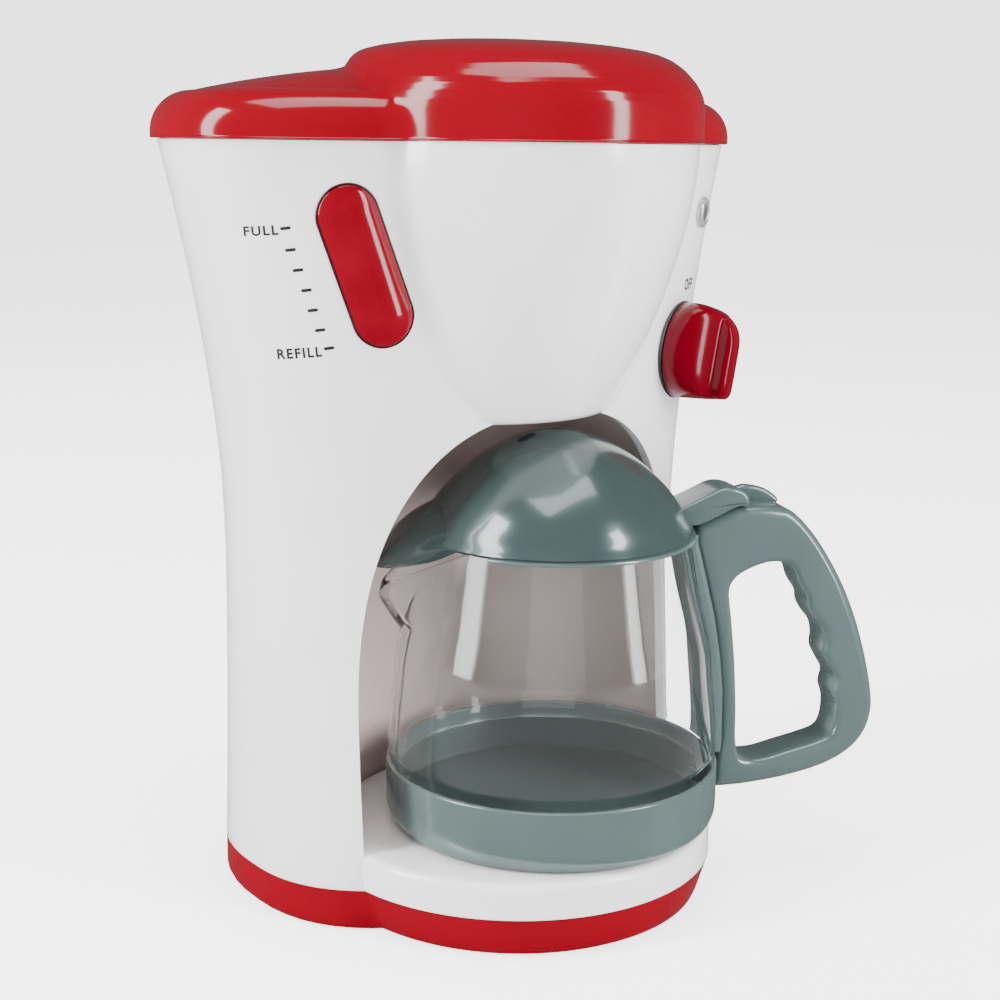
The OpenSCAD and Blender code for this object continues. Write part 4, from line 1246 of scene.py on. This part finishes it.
@dataclass
class Fittings:
    """The level window with its print, the dial, and the lamp.

    Each of them is placed by its distance to the right, its height and how far it faces to the right, in degrees. The
    window also has its turn, and the ticks share theirs.
    """

    bench: Bench
    window: tuple[float, float, float, float] = (-50.8, 167.1, -21.0, 20.0)
    window_w: float = 15.3
    window_len: float = 40.4
    dial: tuple[float, float, float] = (53.0, 141.0, 23.0)
    dial_r: float = 13.2
    dial_reach: float = 17.0
    grip_w: float = 7.6
    off_turn: float = 12.0
    lamp: tuple[float, float, float] = (61.0, 178.0, 32.0)
    lamp_r: float = 2.6
    boldness: float = 0.034
    letter_gap: float = 1.22
    window_inset: float = 0.55
    window_proud: float = 0.45
    window_bulge: float = 2.0
    rim_half: float = 0.34
    dial_gap: float = 0.15
    foot_end: float = 0.74
    wing_soft: float = 0.865
    tick_half: tuple[float, float] = (1.25, 0.40)
    tick_tilt: float = 8.0
    tick_face: float = -27.0
    tick_spots: tuple[tuple[float, float], ...] = ((-67.5, 176.0), (-66.3, 171.0), (-64.7, 166.3), (-62.9, 161.6),
                                                   (-61.5, 156.9), (-59.9, 152.2), (-58.0, 147.9))

    def stadium(self, moved: float) -> Array:
        """Draw the window's outline: two half circles joined by two straights.

        Args:
            moved: how far in from its edge.

        Returns:
            The outline's (x, y) rows.
        """
        r, half = self.window_w / 2, self.window_len / 2
        a = np.radians(np.linspace(0, 180, 48))
        top = np.column_stack([(r - moved) * np.cos(a), half - r + (r - moved) * np.sin(a)])
        low = -top
        straight = np.linspace(0, 1, 26)[1:-1, None]
        left = top[-1] + (low[0] - top[-1]) * straight
        right = low[-1] + (top[0] - low[-1]) * straight
        return np.vstack([top, left, low, right])

    def level_window(self) -> None:
        """Build the window: its outline moves in ring by ring, d/r along, while it rises by (1 - (1 - d/r)^2)^0.8."""
        x, z, az, spin = self.window
        placed = turn_about(x, z, az, spin=spin)
        r = self.window_w / 2
        share = 1 - np.cos(np.linspace(0, np.pi / 2, 30)) * 0.999
        rise = self.window_proud + self.window_bulge * (1 - (1 - share) ** 2) ** 0.8
        steps = [(0.0, -2.6), (0.0, -1.2), (0.0, 0.0)] + list(zip(share * (r - self.window_inset) * 0.985, rise))
        rings = [on_skin(self.stadium(self.window_inset + d), placed, up) for d, up in steps]
        obj = Surface().add_grid(np.stack(rings), wrap_cols=True, cap_first=True, cap_last=True).build("level_window")
        self.bench.dress(smooth_shaded(obj, 50), Finish.RED_WINDOW, "body", "gauge_window")

    def window_rim_shade(self) -> None:
        """Build the dark bead in the seat of the window, painted shade along its edge: a small circle carried round the
        window's outline.
        """
        x, z, az, spin = self.window
        placed = turn_about(x, z, az, spin=spin)
        r = self.rim_half
        rings = [on_skin(self.stadium(self.window_inset - 0.26 - r * np.cos(b)), placed, 0.05 + r * np.sin(b))
                 for b in np.linspace(0, 2 * np.pi, 10, endpoint=False)]
        obj = Surface().add_grid(np.stack(rings), wrap_cols=True, wrap_rows=True).build("level_window_rim_shade")
        # The bead's near-black colour is painted shade.
        self.bench.dress(smooth_shaded(obj, 60), Finish.WINDOW_RIM_SHADE, "body")

    def printed(self, name: str, text: str, place: tuple[float, float, float], height: float, width: float,
                tilt: float) -> None:
        """Lay a short printed word on the shell.

        Args:
            name: the piece's name.
            text: the word.
            place: its middle as (x, z, azimuth it faces).
            height: letter height.
            width: word width.
            tilt: its turn in degrees.
        """
        curve = bpy.data.curves.new(name, "FONT")
        curve.body = text
        curve.align_x, curve.align_y = "CENTER", "CENTER"
        curve.offset = self.boldness
        curve.space_character = self.letter_gap
        temp = in_scene(name + "_temp", curve)
        mesh = bpy.data.meshes.new_from_object(temp.evaluated_get(bpy.context.evaluated_depsgraph_get()))
        bpy.data.objects.remove(temp)
        bpy.data.curves.remove(curve)
        co = np.empty(len(mesh.vertices) * 3)
        mesh.vertices.foreach_get("co", co)
        flat = co.reshape(-1, 3)[:, :2]
        low, high = flat.min(0), flat.max(0)
        flat = (flat - (low + high) / 2) / (high - low) * np.array([width, height])
        x, z, az = place
        pts = on_skin(flat, turn_about(x, z, az, spin=tilt), PRINT_LIFT_MM) * MM
        mesh.vertices.foreach_set("co", pts.ravel())
        mesh.name = name
        self.bench.dress(in_scene(name, welded(mesh, 0.001)), Finish.PRINT_GREY, "body")

    def ticks(self) -> None:
        """Lay the scale's seven short bars on the shell beside the window, each a squared-off oval."""
        surf = Surface()
        wide, tall = self.tick_half
        a = np.linspace(0, 2 * np.pi, 28, endpoint=False)
        c, s = np.cos(a), np.sin(a)
        bar = np.column_stack([wide * np.sign(c) * np.abs(c) ** 0.4, tall * np.sign(s) * np.abs(s) ** 0.6])
        for x, z in self.tick_spots:
            placed = turn_about(x, z, self.tick_face, spin=self.tick_tilt)
            rows = np.stack([on_skin(bar * k, placed, PRINT_LIFT_MM) for k in (1.0, 0.05)])
            surf.add_grid(rows, wrap_cols=True, cap_last=True)
        self.bench.dress(surf.build("scale_ticks", merge=0.0005), Finish.PRINT_GREY, "body")

    def grip(self) -> None:
        """Build the dial: rings, |x/w|^n + |y/h|^n = 1 at each height, that change from a round foot to a flat wing."""
        x, z, az = self.dial
        placed = turn_about(x, z, az, spin=-self.off_turn)
        a = np.linspace(0, 2 * np.pi, 144, endpoint=False)
        c, s = np.cos(a), np.sin(a)
        full, high, soft = self.dial_r - self.dial_gap, self.dial_reach - 2.2, self.wing_soft

        def ring(t: float) -> Array:
            """Return the ring at a share of the height: a smooth maximum of the foot and the wing."""
            foot = full * max(1 - (t / self.foot_end) ** 2.2, 0.0) ** (1 / 1.8)
            inset = 2.4 * (1 - math.sqrt(1 - max((t - soft) / (1 - soft), 0.0) ** 2))
            w = min(math.log(math.exp(foot * 1.1) + math.exp(self.grip_w / 2 * 1.1)) / 1.1, full) - inset
            up = 0.6 + (full - 0.6) * max(1 - t**2.6, 0.0) ** (1 / 2.6)
            down = full - 1.4 * t - inset
            n = 2 + 4 * t
            h = np.where(s > 0, up, down)
            return np.column_stack([w * np.sign(c) * np.abs(c) ** (2 / n), h * np.sign(s) * np.abs(s) ** (2 / n),
                                    np.full(len(a), 1.9 + high * t)])

        r = self.dial_r
        disc = [np.column_stack([q * c, q * s, np.full(len(a), h)])
                for q, h in ((3.2, 0.9), (r - 0.5, 0.9), (r - 0.1, 1.2), (r - 0.1, 1.7))]
        body = [ring(t) for t in np.sin(np.linspace(0, math.pi / 2, 72))]
        grid = np.stack(disc + body)
        obj = Surface().add_grid(grid, wrap_cols=True, cap_first=True, cap_last=True).build("dial_grip", placed)
        # The dial's darker red is painted shade.
        self.bench.dress(smooth_shaded(obj, 40), Finish.DIAL_RED_SHADE, "dial", "control_knob")

    def dial_shade_ring(self) -> None:
        """Build the dark ring of painted shade between the dial and the shell: a rounded profile swept round."""
        x, z, az = self.dial
        r = self.dial_r
        prof = np.array([[r - 3.2, 0.7], [r - 0.2, 0.7], [r + 0.15, 0.45], [r + 0.1, -0.1], [r - 3.2, -0.2]])
        grid = revolved(rounded(prof, 0.2, 3), 120)
        obj = Surface().add_grid(grid[:, ::-1], wrap_cols=True).build("dial_shade_ring", turn_about(x, z, az))
        # The ring's dark colour is painted shade where the dial meets the shell.
        self.bench.dress(smooth_shaded(obj, 50), Finish.DARK_PLASTIC, "body")

    def lamp_parts(self) -> None:
        """Build the lamp's ring, a rounded profile swept round, and its tinted lens, a low half ellipse likewise."""
        x, z, az = self.lamp
        placed = turn_about(x, z, az)
        r = self.lamp_r
        ring = rounded([[r + 0.05, -1.5], [r + 0.05, 0.9], [r + 0.5, 1.5], [r + 1.1, 1.4], [r + 1.65, 0.7],
                        [r + 1.65, -0.6], [r + 0.8, -1.0]], 0.3, 4)
        obj = Surface().add_grid(revolved(ring, 96)[:, ::-1], wrap_cols=True).build("lamp_ring", placed)
        self.bench.dress(smooth_shaded(obj, 50), Finish.LAMP_GREY, "body", "indicator_bezel")
        t = np.linspace(0, 1, 16)
        cap = np.column_stack([r * np.cos(t * np.pi / 2 * 0.98), 0.5 + np.sin(t * np.pi / 2)])
        lens = revolved(np.vstack([[r, -1.5], cap]), 72)[:, ::-1]
        obj = Surface().add_grid(lens, wrap_cols=True, cap_last=True).build("lamp_lens_dome", placed)
        self.bench.dress(smooth_shaded(obj, 50), Finish.LAMP_LENS, "body", "indicator_lens")

    def build(self) -> None:
        """Build and dress every fitting on the front."""
        self.level_window()
        self.window_rim_shade()
        self.ticks()
        for text, place, height, width, tilt in (("FULL", (-71.6, 175.3, -32.0), 2.35, 8.2, 5.0),
                                                 ("REFILL", (-63.4, 146.6, -27.0), 2.5, 10.4, 6.5),
                                                 ("OFF", (56.4, 158.7, 26.0), 3.3, 6.0, 0.0),
                                                 ("ON", (66.9, 161.0, 38.0), 2.7, 4.2, 0.0)):
            self.printed("word_" + text.lower(), text, place, height, width, tilt)
        self.grip()
        self.dial_shade_ring()
        self.lamp_parts()
        self.bench.keep("knob_shaft", Finish.STEEL)
        self.bench.keep("indicator_led", Finish.LAMP_LED)


@dataclass
class Jug:
    """The toy jug: a clear barrel with a beak in a slate cup, with a looped grip, a collar and a hooded lid.

    The profile holds the barrel's radius and height. The outer, hole, seam, crest, lever and tail are drawn from the
    side, by distance from the axis and height. A ring of the hood has its height, its reach at the sides and at the
    point, and its half width.
    """

    bench: Bench
    place: tuple[float, float, float] = (5.2, -8.7, 20.0)
    azimuth: float = -25.0
    cup_r: float = 44.0
    cup_h: float = 16.4
    mouth_r: float = 34.6
    mouth_h: float = 77.5
    glass_wall: float = 1.6
    beak_low: float = 52.5
    beak_high: float = 65.5
    beak_rise: float = 9.8
    beak_grow: float = 9.9
    grip_w: float = 13.5
    strap_w: float = 18.5
    lap_z: float = 12.4
    collar_h: float = 1.4
    lever_w: float = 14.0
    beak_span: float = 38.0
    beak_blur: float = 1.6
    floor_z: float = 16.5
    strap_edge: float = 1.6
    loop_middle: tuple[float, float] = (62.0, 42.0)
    grip_round: tuple[float, float] = (2.9, 2.2)
    profile: tuple[tuple[float, float], ...] = ((43.4, 16.5), (43.6, 21), (43.05, 30), (42.2, 38), (41.08, 48),
                                                (38.29, 59), (36.58, 67), (34.6, 77.5))
    outer: tuple[tuple[float, float], ...] = (
        (50.4, 82.9), (54.7, 82.9), (59.1, 82.4), (63.6, 81.2), (68.8, 76.3), (74.2, 69), (79.6, 59.6), (83.9, 49.4),
        (87.1, 39), (89, 30.1), (89.3, 24.2), (87.6, 18.4), (83.4, 13.5), (76, 9.6), (65.6, 7), (54.5, 5.6), (48, 5.3))
    hole: tuple[tuple[float, float], ...] = (
        (60.5, 67.5), (56.8, 67.4), (51.9, 65.8), (48.2, 63.4), (46.7, 59.7), (47.8, 51.2), (49.1, 39.7),
        (49.8, 28.8), (50.2, 17.5), (52.6, 13.4), (57.9, 12.9), (65.2, 14.6), (72.6, 16.4), (76.8, 18),
        (78.4, 21.2), (78.6, 26.3), (77.4, 30.6), (77.9, 34.4), (75.8, 38.2), (74.2, 41.5), (74.3, 44.9),
        (73.5, 48.4), (71, 51.7), (69.6, 54.2), (69, 57.2), (66.6, 60.9), (65.4, 64.2), (63.4, 66.6))
    seam: tuple[tuple[float, float], ...] = ((44.5, 5.3), (44.5, 12), (45.3, 19), (45.1, 33), (44.0, 43.3),
                                             (42.0, 54.3), (38.9, 66.5), (37.3, 72.6), (36.8, 74.2), (36.8, 77.4))
    crest: tuple[tuple[float, float], ...] = ((37.4, 78.4), (47.3, 82.7))
    lever: tuple[tuple[float, float], ...] = (
        (32, 79.4), (31, 82.4), (32.6, 83.6), (36.5, 85.2), (40, 86.8), (43, 88.1), (46, 88.3), (49.3, 87.3),
        (50.8, 85.6), (50.6, 83.2), (47.3, 82.95), (37.2, 78.6))
    tail: tuple[tuple[float, float], ...] = (
        (48.5, 83.2), (49.0, 85.9), (51.5, 86.7), (53.7, 87.0), (58.1, 86.1), (61.1, 84.5), (62.8, 82.6), (61, 80.8),
        (55, 82.0))
    dome: tuple[tuple[float, float], ...] = ((36.5, 77.8), (34.8, 80.2), (32.7, 83.8), (29.8, 87.8), (25.8, 92),
                                             (20.5, 96.6), (14.5, 100.3), (8, 102.9), (3, 103.9), (0.3, 104.0))
    hood_rings: tuple[tuple[float, float, float, float], ...] = (
        (69.6, 42.5, 47.2, 3), (72, 35, 46.6, 8.5), (75, 30, 45, 13), (77.8, 26, 43, 16.5), (80.5, 22, 40.6, 17),
        (83.5, 18, 36.6, 15), (86.3, 14, 31.5, 12))

    @property
    def placed(self) -> Matrix:
        """Return the jug's placing: its axis over the plate and its grip turned to the right front."""
        return Matrix.Translation(self.place) @ Matrix.Rotation(math.radians(self.azimuth), 4, "Z")

    @property
    def sideways(self) -> Matrix:
        """Return the placing of things drawn in side view: x out along the grip, y up."""
        return self.placed @ Matrix.Rotation(math.radians(90), 4, "X")

    def radius(self, z: Array) -> Array:
        """Return the clear barrel's radius, a smooth curve through its profile."""
        curve = catmull(self.profile, 12)
        return np.interp(z, curve[:, 1], curve[:, 0])

    def ring(self, z: Array, r: Array, inset: float, angles: Array) -> Array:
        """Return one ring of the barrel, with the beak drawn out towards -X.

        Args:
            z: height at each angle.
            r: the round part's radius at each angle.
            inset: distance inside the outer skin, for the inner skin.
            angles: angles from the beak in radians.

        Returns:
            The ring's points. The flanks run straight to the tip, rho = T r sin b / (sin d (T - r cos b) +
            r sin b cos d), and are then blurred round the ring so that they swell out of the barrel.
        """
        t = np.clip((z - self.beak_low) / self.beak_rise, 0, 1)
        b = np.radians(5 + 33 * t**0.8 - inset * 0.6)
        tip = r + self.beak_grow * t**0.85 - inset * 0.9
        d = np.minimum(np.abs(angles), b)
        rho = tip * r * np.sin(b) / (np.sin(d) * (tip - r * np.cos(b)) + r * np.sin(b) * np.cos(d))
        rho = np.where(np.abs(angles) < b, rho, r)
        rho = blurred(rho, 9, self.beak_blur)
        return np.column_stack([-rho * np.cos(angles), -rho * np.sin(angles), z])

    def barrel(self) -> None:
        """Build the clear barrel up its outside, over its dipped rim and down its inside."""
        a = np.linspace(-np.pi, np.pi, 288, endpoint=False)
        one = np.ones(len(a))
        f = np.minimum(np.abs(a) / np.radians(self.beak_span), 1.0)
        rim = self.beak_high + (self.mouth_h - self.beak_high) * f**0.9
        wall = self.glass_wall
        rows = [self.ring(one * z, one * (self.cup_r - 1.8), 0, a) for z in (self.lap_z, 15.6)]
        for s in np.linspace(0, 0.975, 64):
            z = self.floor_z + (rim - self.floor_z) * s
            rows.append(self.ring(z, self.radius(z), 0, a))
        flare = 2.3 * (1 - f)
        mid = self.mouth_r + flare - wall / 2
        for ang in np.linspace(0, np.pi, 7):
            rim_z, rim_r = rim - 0.8 + 0.8 * np.sin(ang), mid + wall / 2 * np.cos(ang)
            rows.append(self.ring(rim_z, rim_r, wall * (1 - np.cos(ang)) / 2, a))
        for s in np.linspace(0.96, 0.03, 44):
            z = 17.5 + (rim - 17.5) * s
            rows.append(self.ring(z, self.radius(z) - wall, wall, a))
        rows += [self.ring(one * z, one * (self.cup_r - 3.4), 0, a) for z in (17.2, self.lap_z)]
        surf = Surface().add_grid(np.stack(rows), wrap_cols=True, wrap_rows=True)
        obj = smooth_shaded(surf.build("jug_barrel", self.placed, 0.002), 50)
        obj.visible_shadow = False
        self.bench.dress(obj, Finish.CLEAR, "jug", "jug_glass")

    def cup(self) -> None:
        """Build the slate cup that the barrel stands in, and its duller inside, darkened as painted shade: rounded
        profiles swept round.
        """
        r = self.cup_r
        prof = rounded([[0.2, 1], [r - 5, 1], [r - 5, 0], [r - 2.2, 0], [r, 3.2], [r + 0.05, 10], [r, self.cup_h],
                        [r - 1.6, self.cup_h], [r - 1.7, 3], [0.2, 3]],
                       [0, 0.3, 0.2, 2.4, 2.4, 3, 0.5, 0.4, 1.0, 0], 7)
        surf = Surface().add_grid(revolved(prof, 200), wrap_cols=True, cap_first=True, cap_last=True)
        cup = smooth_shaded(surf.build("jug_cup", self.placed), 45)
        self.bench.dress(cup, Finish.SLATE, "jug", "jug_base")
        shade_profile = rounded([[0.3, 3.01], [r - 1.66, 3.01], [r - 1.66, self.lap_z - 0.1], [r - 1.95, self.lap_z - 0.1],
                        [r - 2.6, 3.5], [0.3, 3.3]], [0, 0, 0.1, 0.1, 1.2, 0], 6)
        surf = Surface().add_grid(revolved(shade_profile, 160), wrap_cols=True, cap_first=True, cap_last=True)
        inside = smooth_shaded(surf.build("jug_cup_inside", self.placed), 45)
        # The inside's darker slate is painted shade.
        self.bench.dress(inside, Finish.SLATE_INSIDE_SHADE, "jug")

    def collar(self) -> None:
        """Build the band, a profile swept round the mouth but for the beak, and the strap under the grip.

        The strap's outside follows the grip's seam with rounded edges, and its inside the barrel's radius.
        """
        m, h = self.mouth_r, self.mouth_h
        low = h - self.collar_h
        prof = rounded([[m + 0.3, h - 1], [m + 0.3, low], [m + 1.9, low], [m + 1.9, h - 0.7], [m + 1.0, h + 0.1],
                        [m + 0.3, h + 0.1], [m + 0.3, h - 1]], 0.45, 4)[:-1]
        band = revolved(prof, 180, -131, 131).transpose(1, 0, 2)
        seam = np.asarray(self.seam)
        z = np.linspace(self.cup_h + 0.4, 76.6, 90)
        face = np.interp(z, seam[:, 1], seam[:, 0]) - 0.15
        half, edge = self.strap_w / 2, self.strap_edge
        y = half * np.sin(np.linspace(-1, 1, 25) * np.pi / 2)
        inner_r = self.radius(z) + 0.25
        inner = np.sqrt(inner_r[:, None] ** 2 - y[None, :] ** 2)
        drop = edge * (1 - np.sqrt(1 - np.clip((np.abs(y) - (half - edge)) / edge, 0, 1) ** 2))
        out = np.maximum(face[:, None] - drop[None, :], inner + 0.25)
        zz = z[:, None] + 0 * y
        yy = y[None, :] + 0 * zz
        strap = np.concatenate([np.stack([out, yy, zz], -1), np.stack([inner, yy, zz], -1)[:, ::-1]], axis=1)
        surf = Surface().add_grid(band, wrap_cols=True, cap_first=True, cap_last=True)
        surf.add_grid(strap, wrap_cols=True, cap_first=True, cap_last=True)
        obj = smooth_shaded(surf.build("jug_band", self.placed), 45)
        self.bench.dress(obj, Finish.SLATE, "jug", "jug_collar")

    def grip(self) -> None:
        """Build the looped grip: in each direction from the loop's middle, a rounded bar from hole to outline."""
        middle = np.array(self.loop_middle)
        outer = resample(np.vstack([catmull(self.outer, 10), self.seam, self.crest]), 1400, closed=True)
        outer = blurred(outer, 8, 3.0)
        hole = resample(catmull(self.hole, 10, closed=True), 1400, closed=True)

        def polar(c: Array) -> tuple[Array, Array]:
            """Return a curve's angles about the middle, rising, and its distances from it."""
            d = c - middle
            ang = np.unwrap(np.arctan2(d[:, 1], d[:, 0]))
            if ang[-1] < ang[0]:
                ang, d = ang[::-1], d[::-1]
            return ang, np.hypot(d[:, 0], d[:, 1])

        oa, orad = polar(outer)
        ha, hrad = polar(hole)
        pick = resample(np.column_stack([orad * np.cos(oa), orad * np.sin(oa)]), 420, closed=True)
        at = np.unwrap(np.arctan2(pick[:, 1], pick[:, 0]))
        o = np.hypot(pick[:, 0], pick[:, 1])
        order = np.argsort(ha % (2 * np.pi))
        h = np.interp(at % (2 * np.pi), (ha % (2 * np.pi))[order], hrad[order], period=2 * np.pi)
        direction = np.column_stack([np.cos(at), np.sin(at)])
        half = (o - h) / 2
        mid = middle + direction * ((o + h) / 2)[:, None]
        w = self.grip_w / 2
        rows = []
        steps = np.linspace(0, np.pi / 2, 7)
        for sx, sy in ((1, 1), (-1, 1), (-1, -1), (1, -1)):
            r = np.minimum(self.grip_round[0] if sx > 0 else self.grip_round[1], half * 0.96)
            for s in steps if sx * sy > 0 else steps[::-1]:
                along = sx * (half - r * (1 - np.cos(s)))
                across = sy * (w - np.minimum(r, w * 0.96) * (1 - np.sin(s)))
                rows.append(np.column_stack([mid + direction * along[:, None], across]))
        surf = Surface().add_grid(np.stack(rows, axis=1), wrap_cols=True, wrap_rows=True)
        obj = smooth_shaded(surf.build("jug_grip", self.sideways), 50)
        self.bench.dress(obj, Finish.SLATE, "jug", "jug_handle")

    def cover(self) -> None:
        """Build the jug's lid: a dome swept round, and a hood whose level rings run to a point over the beak."""
        dome = catmull(self.dome, 10)
        inner = dome[::-1] - np.column_stack([np.minimum(1.7, dome[::-1, 0] * 0.98), np.full(len(dome), 1.0)])
        prof = np.vstack([dome, inner])
        prof[:, 0] = np.maximum(prof[:, 0], 0.25)
        z, a, b, w = (column[:, None] for column in catmull(self.hood_rings, 8).T)
        th = np.linspace(-np.pi / 2, np.pi / 2, 61)
        c, s = np.cos(th), np.sin(th)
        x = -(a + (b - a) * np.abs(c) ** 1.15)
        y = w * np.sign(s) * np.abs(s) ** 0.9
        surf = Surface().add_grid(revolved(prof, 200), wrap_cols=True)
        surf.add_grid(np.stack([x, y, z + 0 * x], -1), wrap_cols=True, cap_first=True, cap_last=True)
        obj = smooth_shaded(surf.build("jug_cover", self.placed), 50)
        # The lid's darker slate is painted shade.
        self.bench.dress(obj, Finish.SLATE_COVER_SHADE, "jug", "jug_lid")

    def thumb(self) -> None:
        """Build the thumb lever behind the dome, a thick slab, and its narrow tail on the far side of the grip."""
        surf = Surface()
        half = self.lever_w / 2
        for corners, low, high in ((self.lever, -half, half), (self.tail, -6.4, -3.0)):
            outline = resample(catmull(corners, 8, closed=True), 160, closed=True)
            turn = np.roll(outline, -1, 0)
            if np.sum(outline[:, 0] * turn[:, 1] - turn[:, 0] * outline[:, 1]) < 0:
                outline = outline[::-1]
            surf.add_grid(slab(outline, low, high, 1.2, 5), wrap_cols=True, cap_first=True, cap_last=True)
        obj = smooth_shaded(surf.build("jug_thumb_lever", self.sideways), 50)
        self.bench.dress(obj, Finish.SLATE, "jug", "thumb_lever")

    def build(self) -> None:
        """Build and dress the whole jug."""
        self.barrel()
        self.cup()
        self.collar()
        self.grip()
        self.cover()
        self.thumb()
        self.bench.keep("handle_screw", Finish.STEEL)


@dataclass
class Works:
    """The pieces inside and underneath, which show through the battery door, the open lid or the clear tank."""

    bench: Bench
    body: str = "body"

    def build(self) -> None:
        """Finish every inner node: turned and moulded ones get a smooth-shaded copy, plain ones keep their shape."""
        smooth = (("battery_door", Finish.RED_TRIM, 0.3), ("battery_cells", Finish.CELL_SLEEVE, 0.25),
                  ("water_tank", Finish.TANK_CLEAR, 0.0), ("drip_nozzle", Finish.DARK_PLASTIC, 0.0),
                  ("speaker", Finish.DARK_PLASTIC, 0.0), ("rotary_switch", Finish.DARK_PLASTIC, 0.2))
        for node, finish, bevel in smooth:
            self.bench.refined(node, node + "_piece", finish, self.body, 32, bevel)
        for node in ("battery_door_screw", "battery_contacts", "base_screws", "housing_screws", "circuit_board",
                     "board_screws"):
            self.bench.keep(node, Finish.BOARD if node == "circuit_board" else Finish.STEEL)


# ------------------------------------------------------------------------------------------------------- the studio
@dataclass
class Studio:
    """A plain pale floor, soft lights and the camera.

    The eye is in millimetres and the camera's axes are unit vectors. The lamps are in metres and watts: name, place,
    width, height, power and whether glossy pieces mirror them.
    """

    eye: tuple[float, float, float] = (-273.226, -346.511, 195.8)
    right: tuple[float, float, float] = (0.793658, -0.608255, 0.011554)
    up: tuple[float, float, float] = (0.114440, 0.167922, 0.979135)
    back: tuple[float, float, float] = (-0.59750, -0.77578, 0.20288)
    lens: float = 61.96
    backdrop: float = 2.9
    ambient: float = 0.62
    mirrored: float = 0.12
    floor_glow: float = 2.4
    floor_half: float = 2.5
    aim: tuple[float, float, float] = (0.0, 0.0, 0.10)
    lamps: tuple[tuple[str, tuple[float, float, float], float, float, float, bool], ...] = (
        ("left_strip", (-0.97, 0.25, 0.55), 0.30, 1.1, 26.0, True),
        ("right_strip", (0.45, -1.0, 0.50), 0.20, 1.0, 16.0, True),
        ("top", (0.0, -0.1, 1.2), 0.8, 0.5, 10.0, True),
        ("front_sheet", (-0.62, -0.84, 0.26), 0.8, 0.5, 2.6, False),
        ("right_sheet", (0.85, -0.75, 0.35), 0.6, 0.8, 8.0, False),
        ("rim", (0.2, 0.95, 0.7), 1.0, 0.6, 4.0, False))

    @staticmethod
    def sight(tree: bpy.types.NodeTree) -> tuple[bpy.types.NodeSocket, bpy.types.NodeSocket]:
        """Add the nodes that tell a direct view, glass included, from a mirrored one; scattered light gives 0, 0.

        Args:
            tree: the node tree to add them to.

        Returns:
            The direct and the mirrored mask.
        """
        n, link = tree.nodes, tree.links.new
        path = n.new("ShaderNodeLightPath")

        def math_node(operation: str, a: bpy.types.NodeSocket,
                      b: bpy.types.NodeSocket | float) -> bpy.types.NodeSocket:
            """Add a Math node.

            Args:
                operation: what it does.
                a: its first value.
                b: its second value, a socket or a number.

            Returns:
                The socket with its result.
            """
            node = n.new("ShaderNodeMath")
            node.operation = operation
            for socket, value in zip(node.inputs, (a, b)):
                if isinstance(value, float):
                    socket.default_value = value
                else:
                    link(value, socket)
            return node.outputs["Value"]

        unscattered = math_node("LESS_THAN", path.outputs["Diffuse Depth"], 0.5)
        unmirrored = math_node("LESS_THAN", path.outputs["Glossy Depth"], 0.5)
        direct = math_node("MULTIPLY", unscattered, unmirrored)
        return direct, math_node("SUBTRACT", unscattered, direct)

    def floor(self) -> None:
        """Lay the floor, which looks as bright as the surroundings but lights nothing more than paper does."""
        mesh = bpy.data.meshes.new("floor")
        s = self.floor_half
        mesh.from_pydata([(-s, -s, 0), (s, -s, 0), (s, s, 0), (-s, s, 0)], [], [(0, 1, 2, 3)])
        floor = in_scene("floor", mesh)
        mat = bpy.data.materials.new("floor_paper")
        mat.use_nodes = True
        bsdf = mat.node_tree.nodes["Principled BSDF"]
        fill(bsdf, {"Base Color": (0.90, 0.90, 0.90, 1), "Roughness": 0.9, "Emission Strength": self.floor_glow})
        mat.node_tree.links.new(self.sight(mat.node_tree)[0], bsdf.inputs["Emission Color"])
        floor.data.materials.append(mat)
        floor.visible_glossy = False

    def lights(self) -> None:
        """Hang the soft lights and set the pale surroundings, dimmer for all but the camera."""
        for name, at, wide, tall, power, mirrored in self.lamps:
            data = bpy.data.lights.new(name, "AREA")
            data.shape = "RECTANGLE"
            data.size, data.size_y = wide, tall
            data.energy = power
            obj = in_scene(name, data)
            obj.location = at
            obj.visible_glossy = mirrored
            obj.rotation_euler = (Vector(self.aim) - Vector(at)).to_track_quat("-Z", "Y").to_euler()
        world = bpy.data.worlds.new("surroundings")
        world.use_nodes = True
        n, link = world.node_tree.nodes, world.node_tree.links.new
        back = n["Background"]
        fill(back, {"Color": (1.0, 1.0, 1.0, 1)})
        level: bpy.types.NodeSocket | None = None
        for mask, strength in zip(self.sight(world.node_tree), (self.backdrop, self.mirrored)):
            step = n.new("ShaderNodeMath")
            step.operation = "MULTIPLY_ADD"
            fill(step, {1: strength - self.ambient, 2: self.ambient})
            link(mask, step.inputs[0])
            if level is not None:
                link(level, step.inputs[2])
            level = step.outputs["Value"]
        link(level, back.inputs["Strength"])
        bpy.context.scene.world = world

    def camera(self) -> None:
        """Place the camera from its eye point and axes."""
        data = bpy.data.cameras.new("camera")
        data.lens, data.sensor_width = self.lens, 36.0
        data.clip_start, data.clip_end = 0.01, 20.0
        cam = in_scene("camera", data)
        x, y, z, e = (Vector(v) for v in (self.right, self.up, self.back, self.eye))
        cam.matrix_world = Matrix(((x.x, y.x, z.x, e.x * MM), (x.y, y.y, z.y, e.y * MM), (x.z, y.z, z.z, e.z * MM),
                                   (0, 0, 0, 1)))
        bpy.context.scene.camera = cam

    def build(self) -> None:
        """Build the studio."""
        self.floor()
        self.lights()
        self.camera()


def main() -> None:
    """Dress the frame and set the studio."""
    logging.basicConfig(level=logging.INFO, format="%(name)s %(message)s")
    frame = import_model()
    bench = Bench(frame, FinishShop())
    for part in (Housing(bench), Lid(bench), Fittings(bench), Jug(bench), Works(bench)):
        part.build()
        LOG.info("%s is dressed", type(part).__name__)
    Studio().build()


if __name__ == "__main__":
    main()
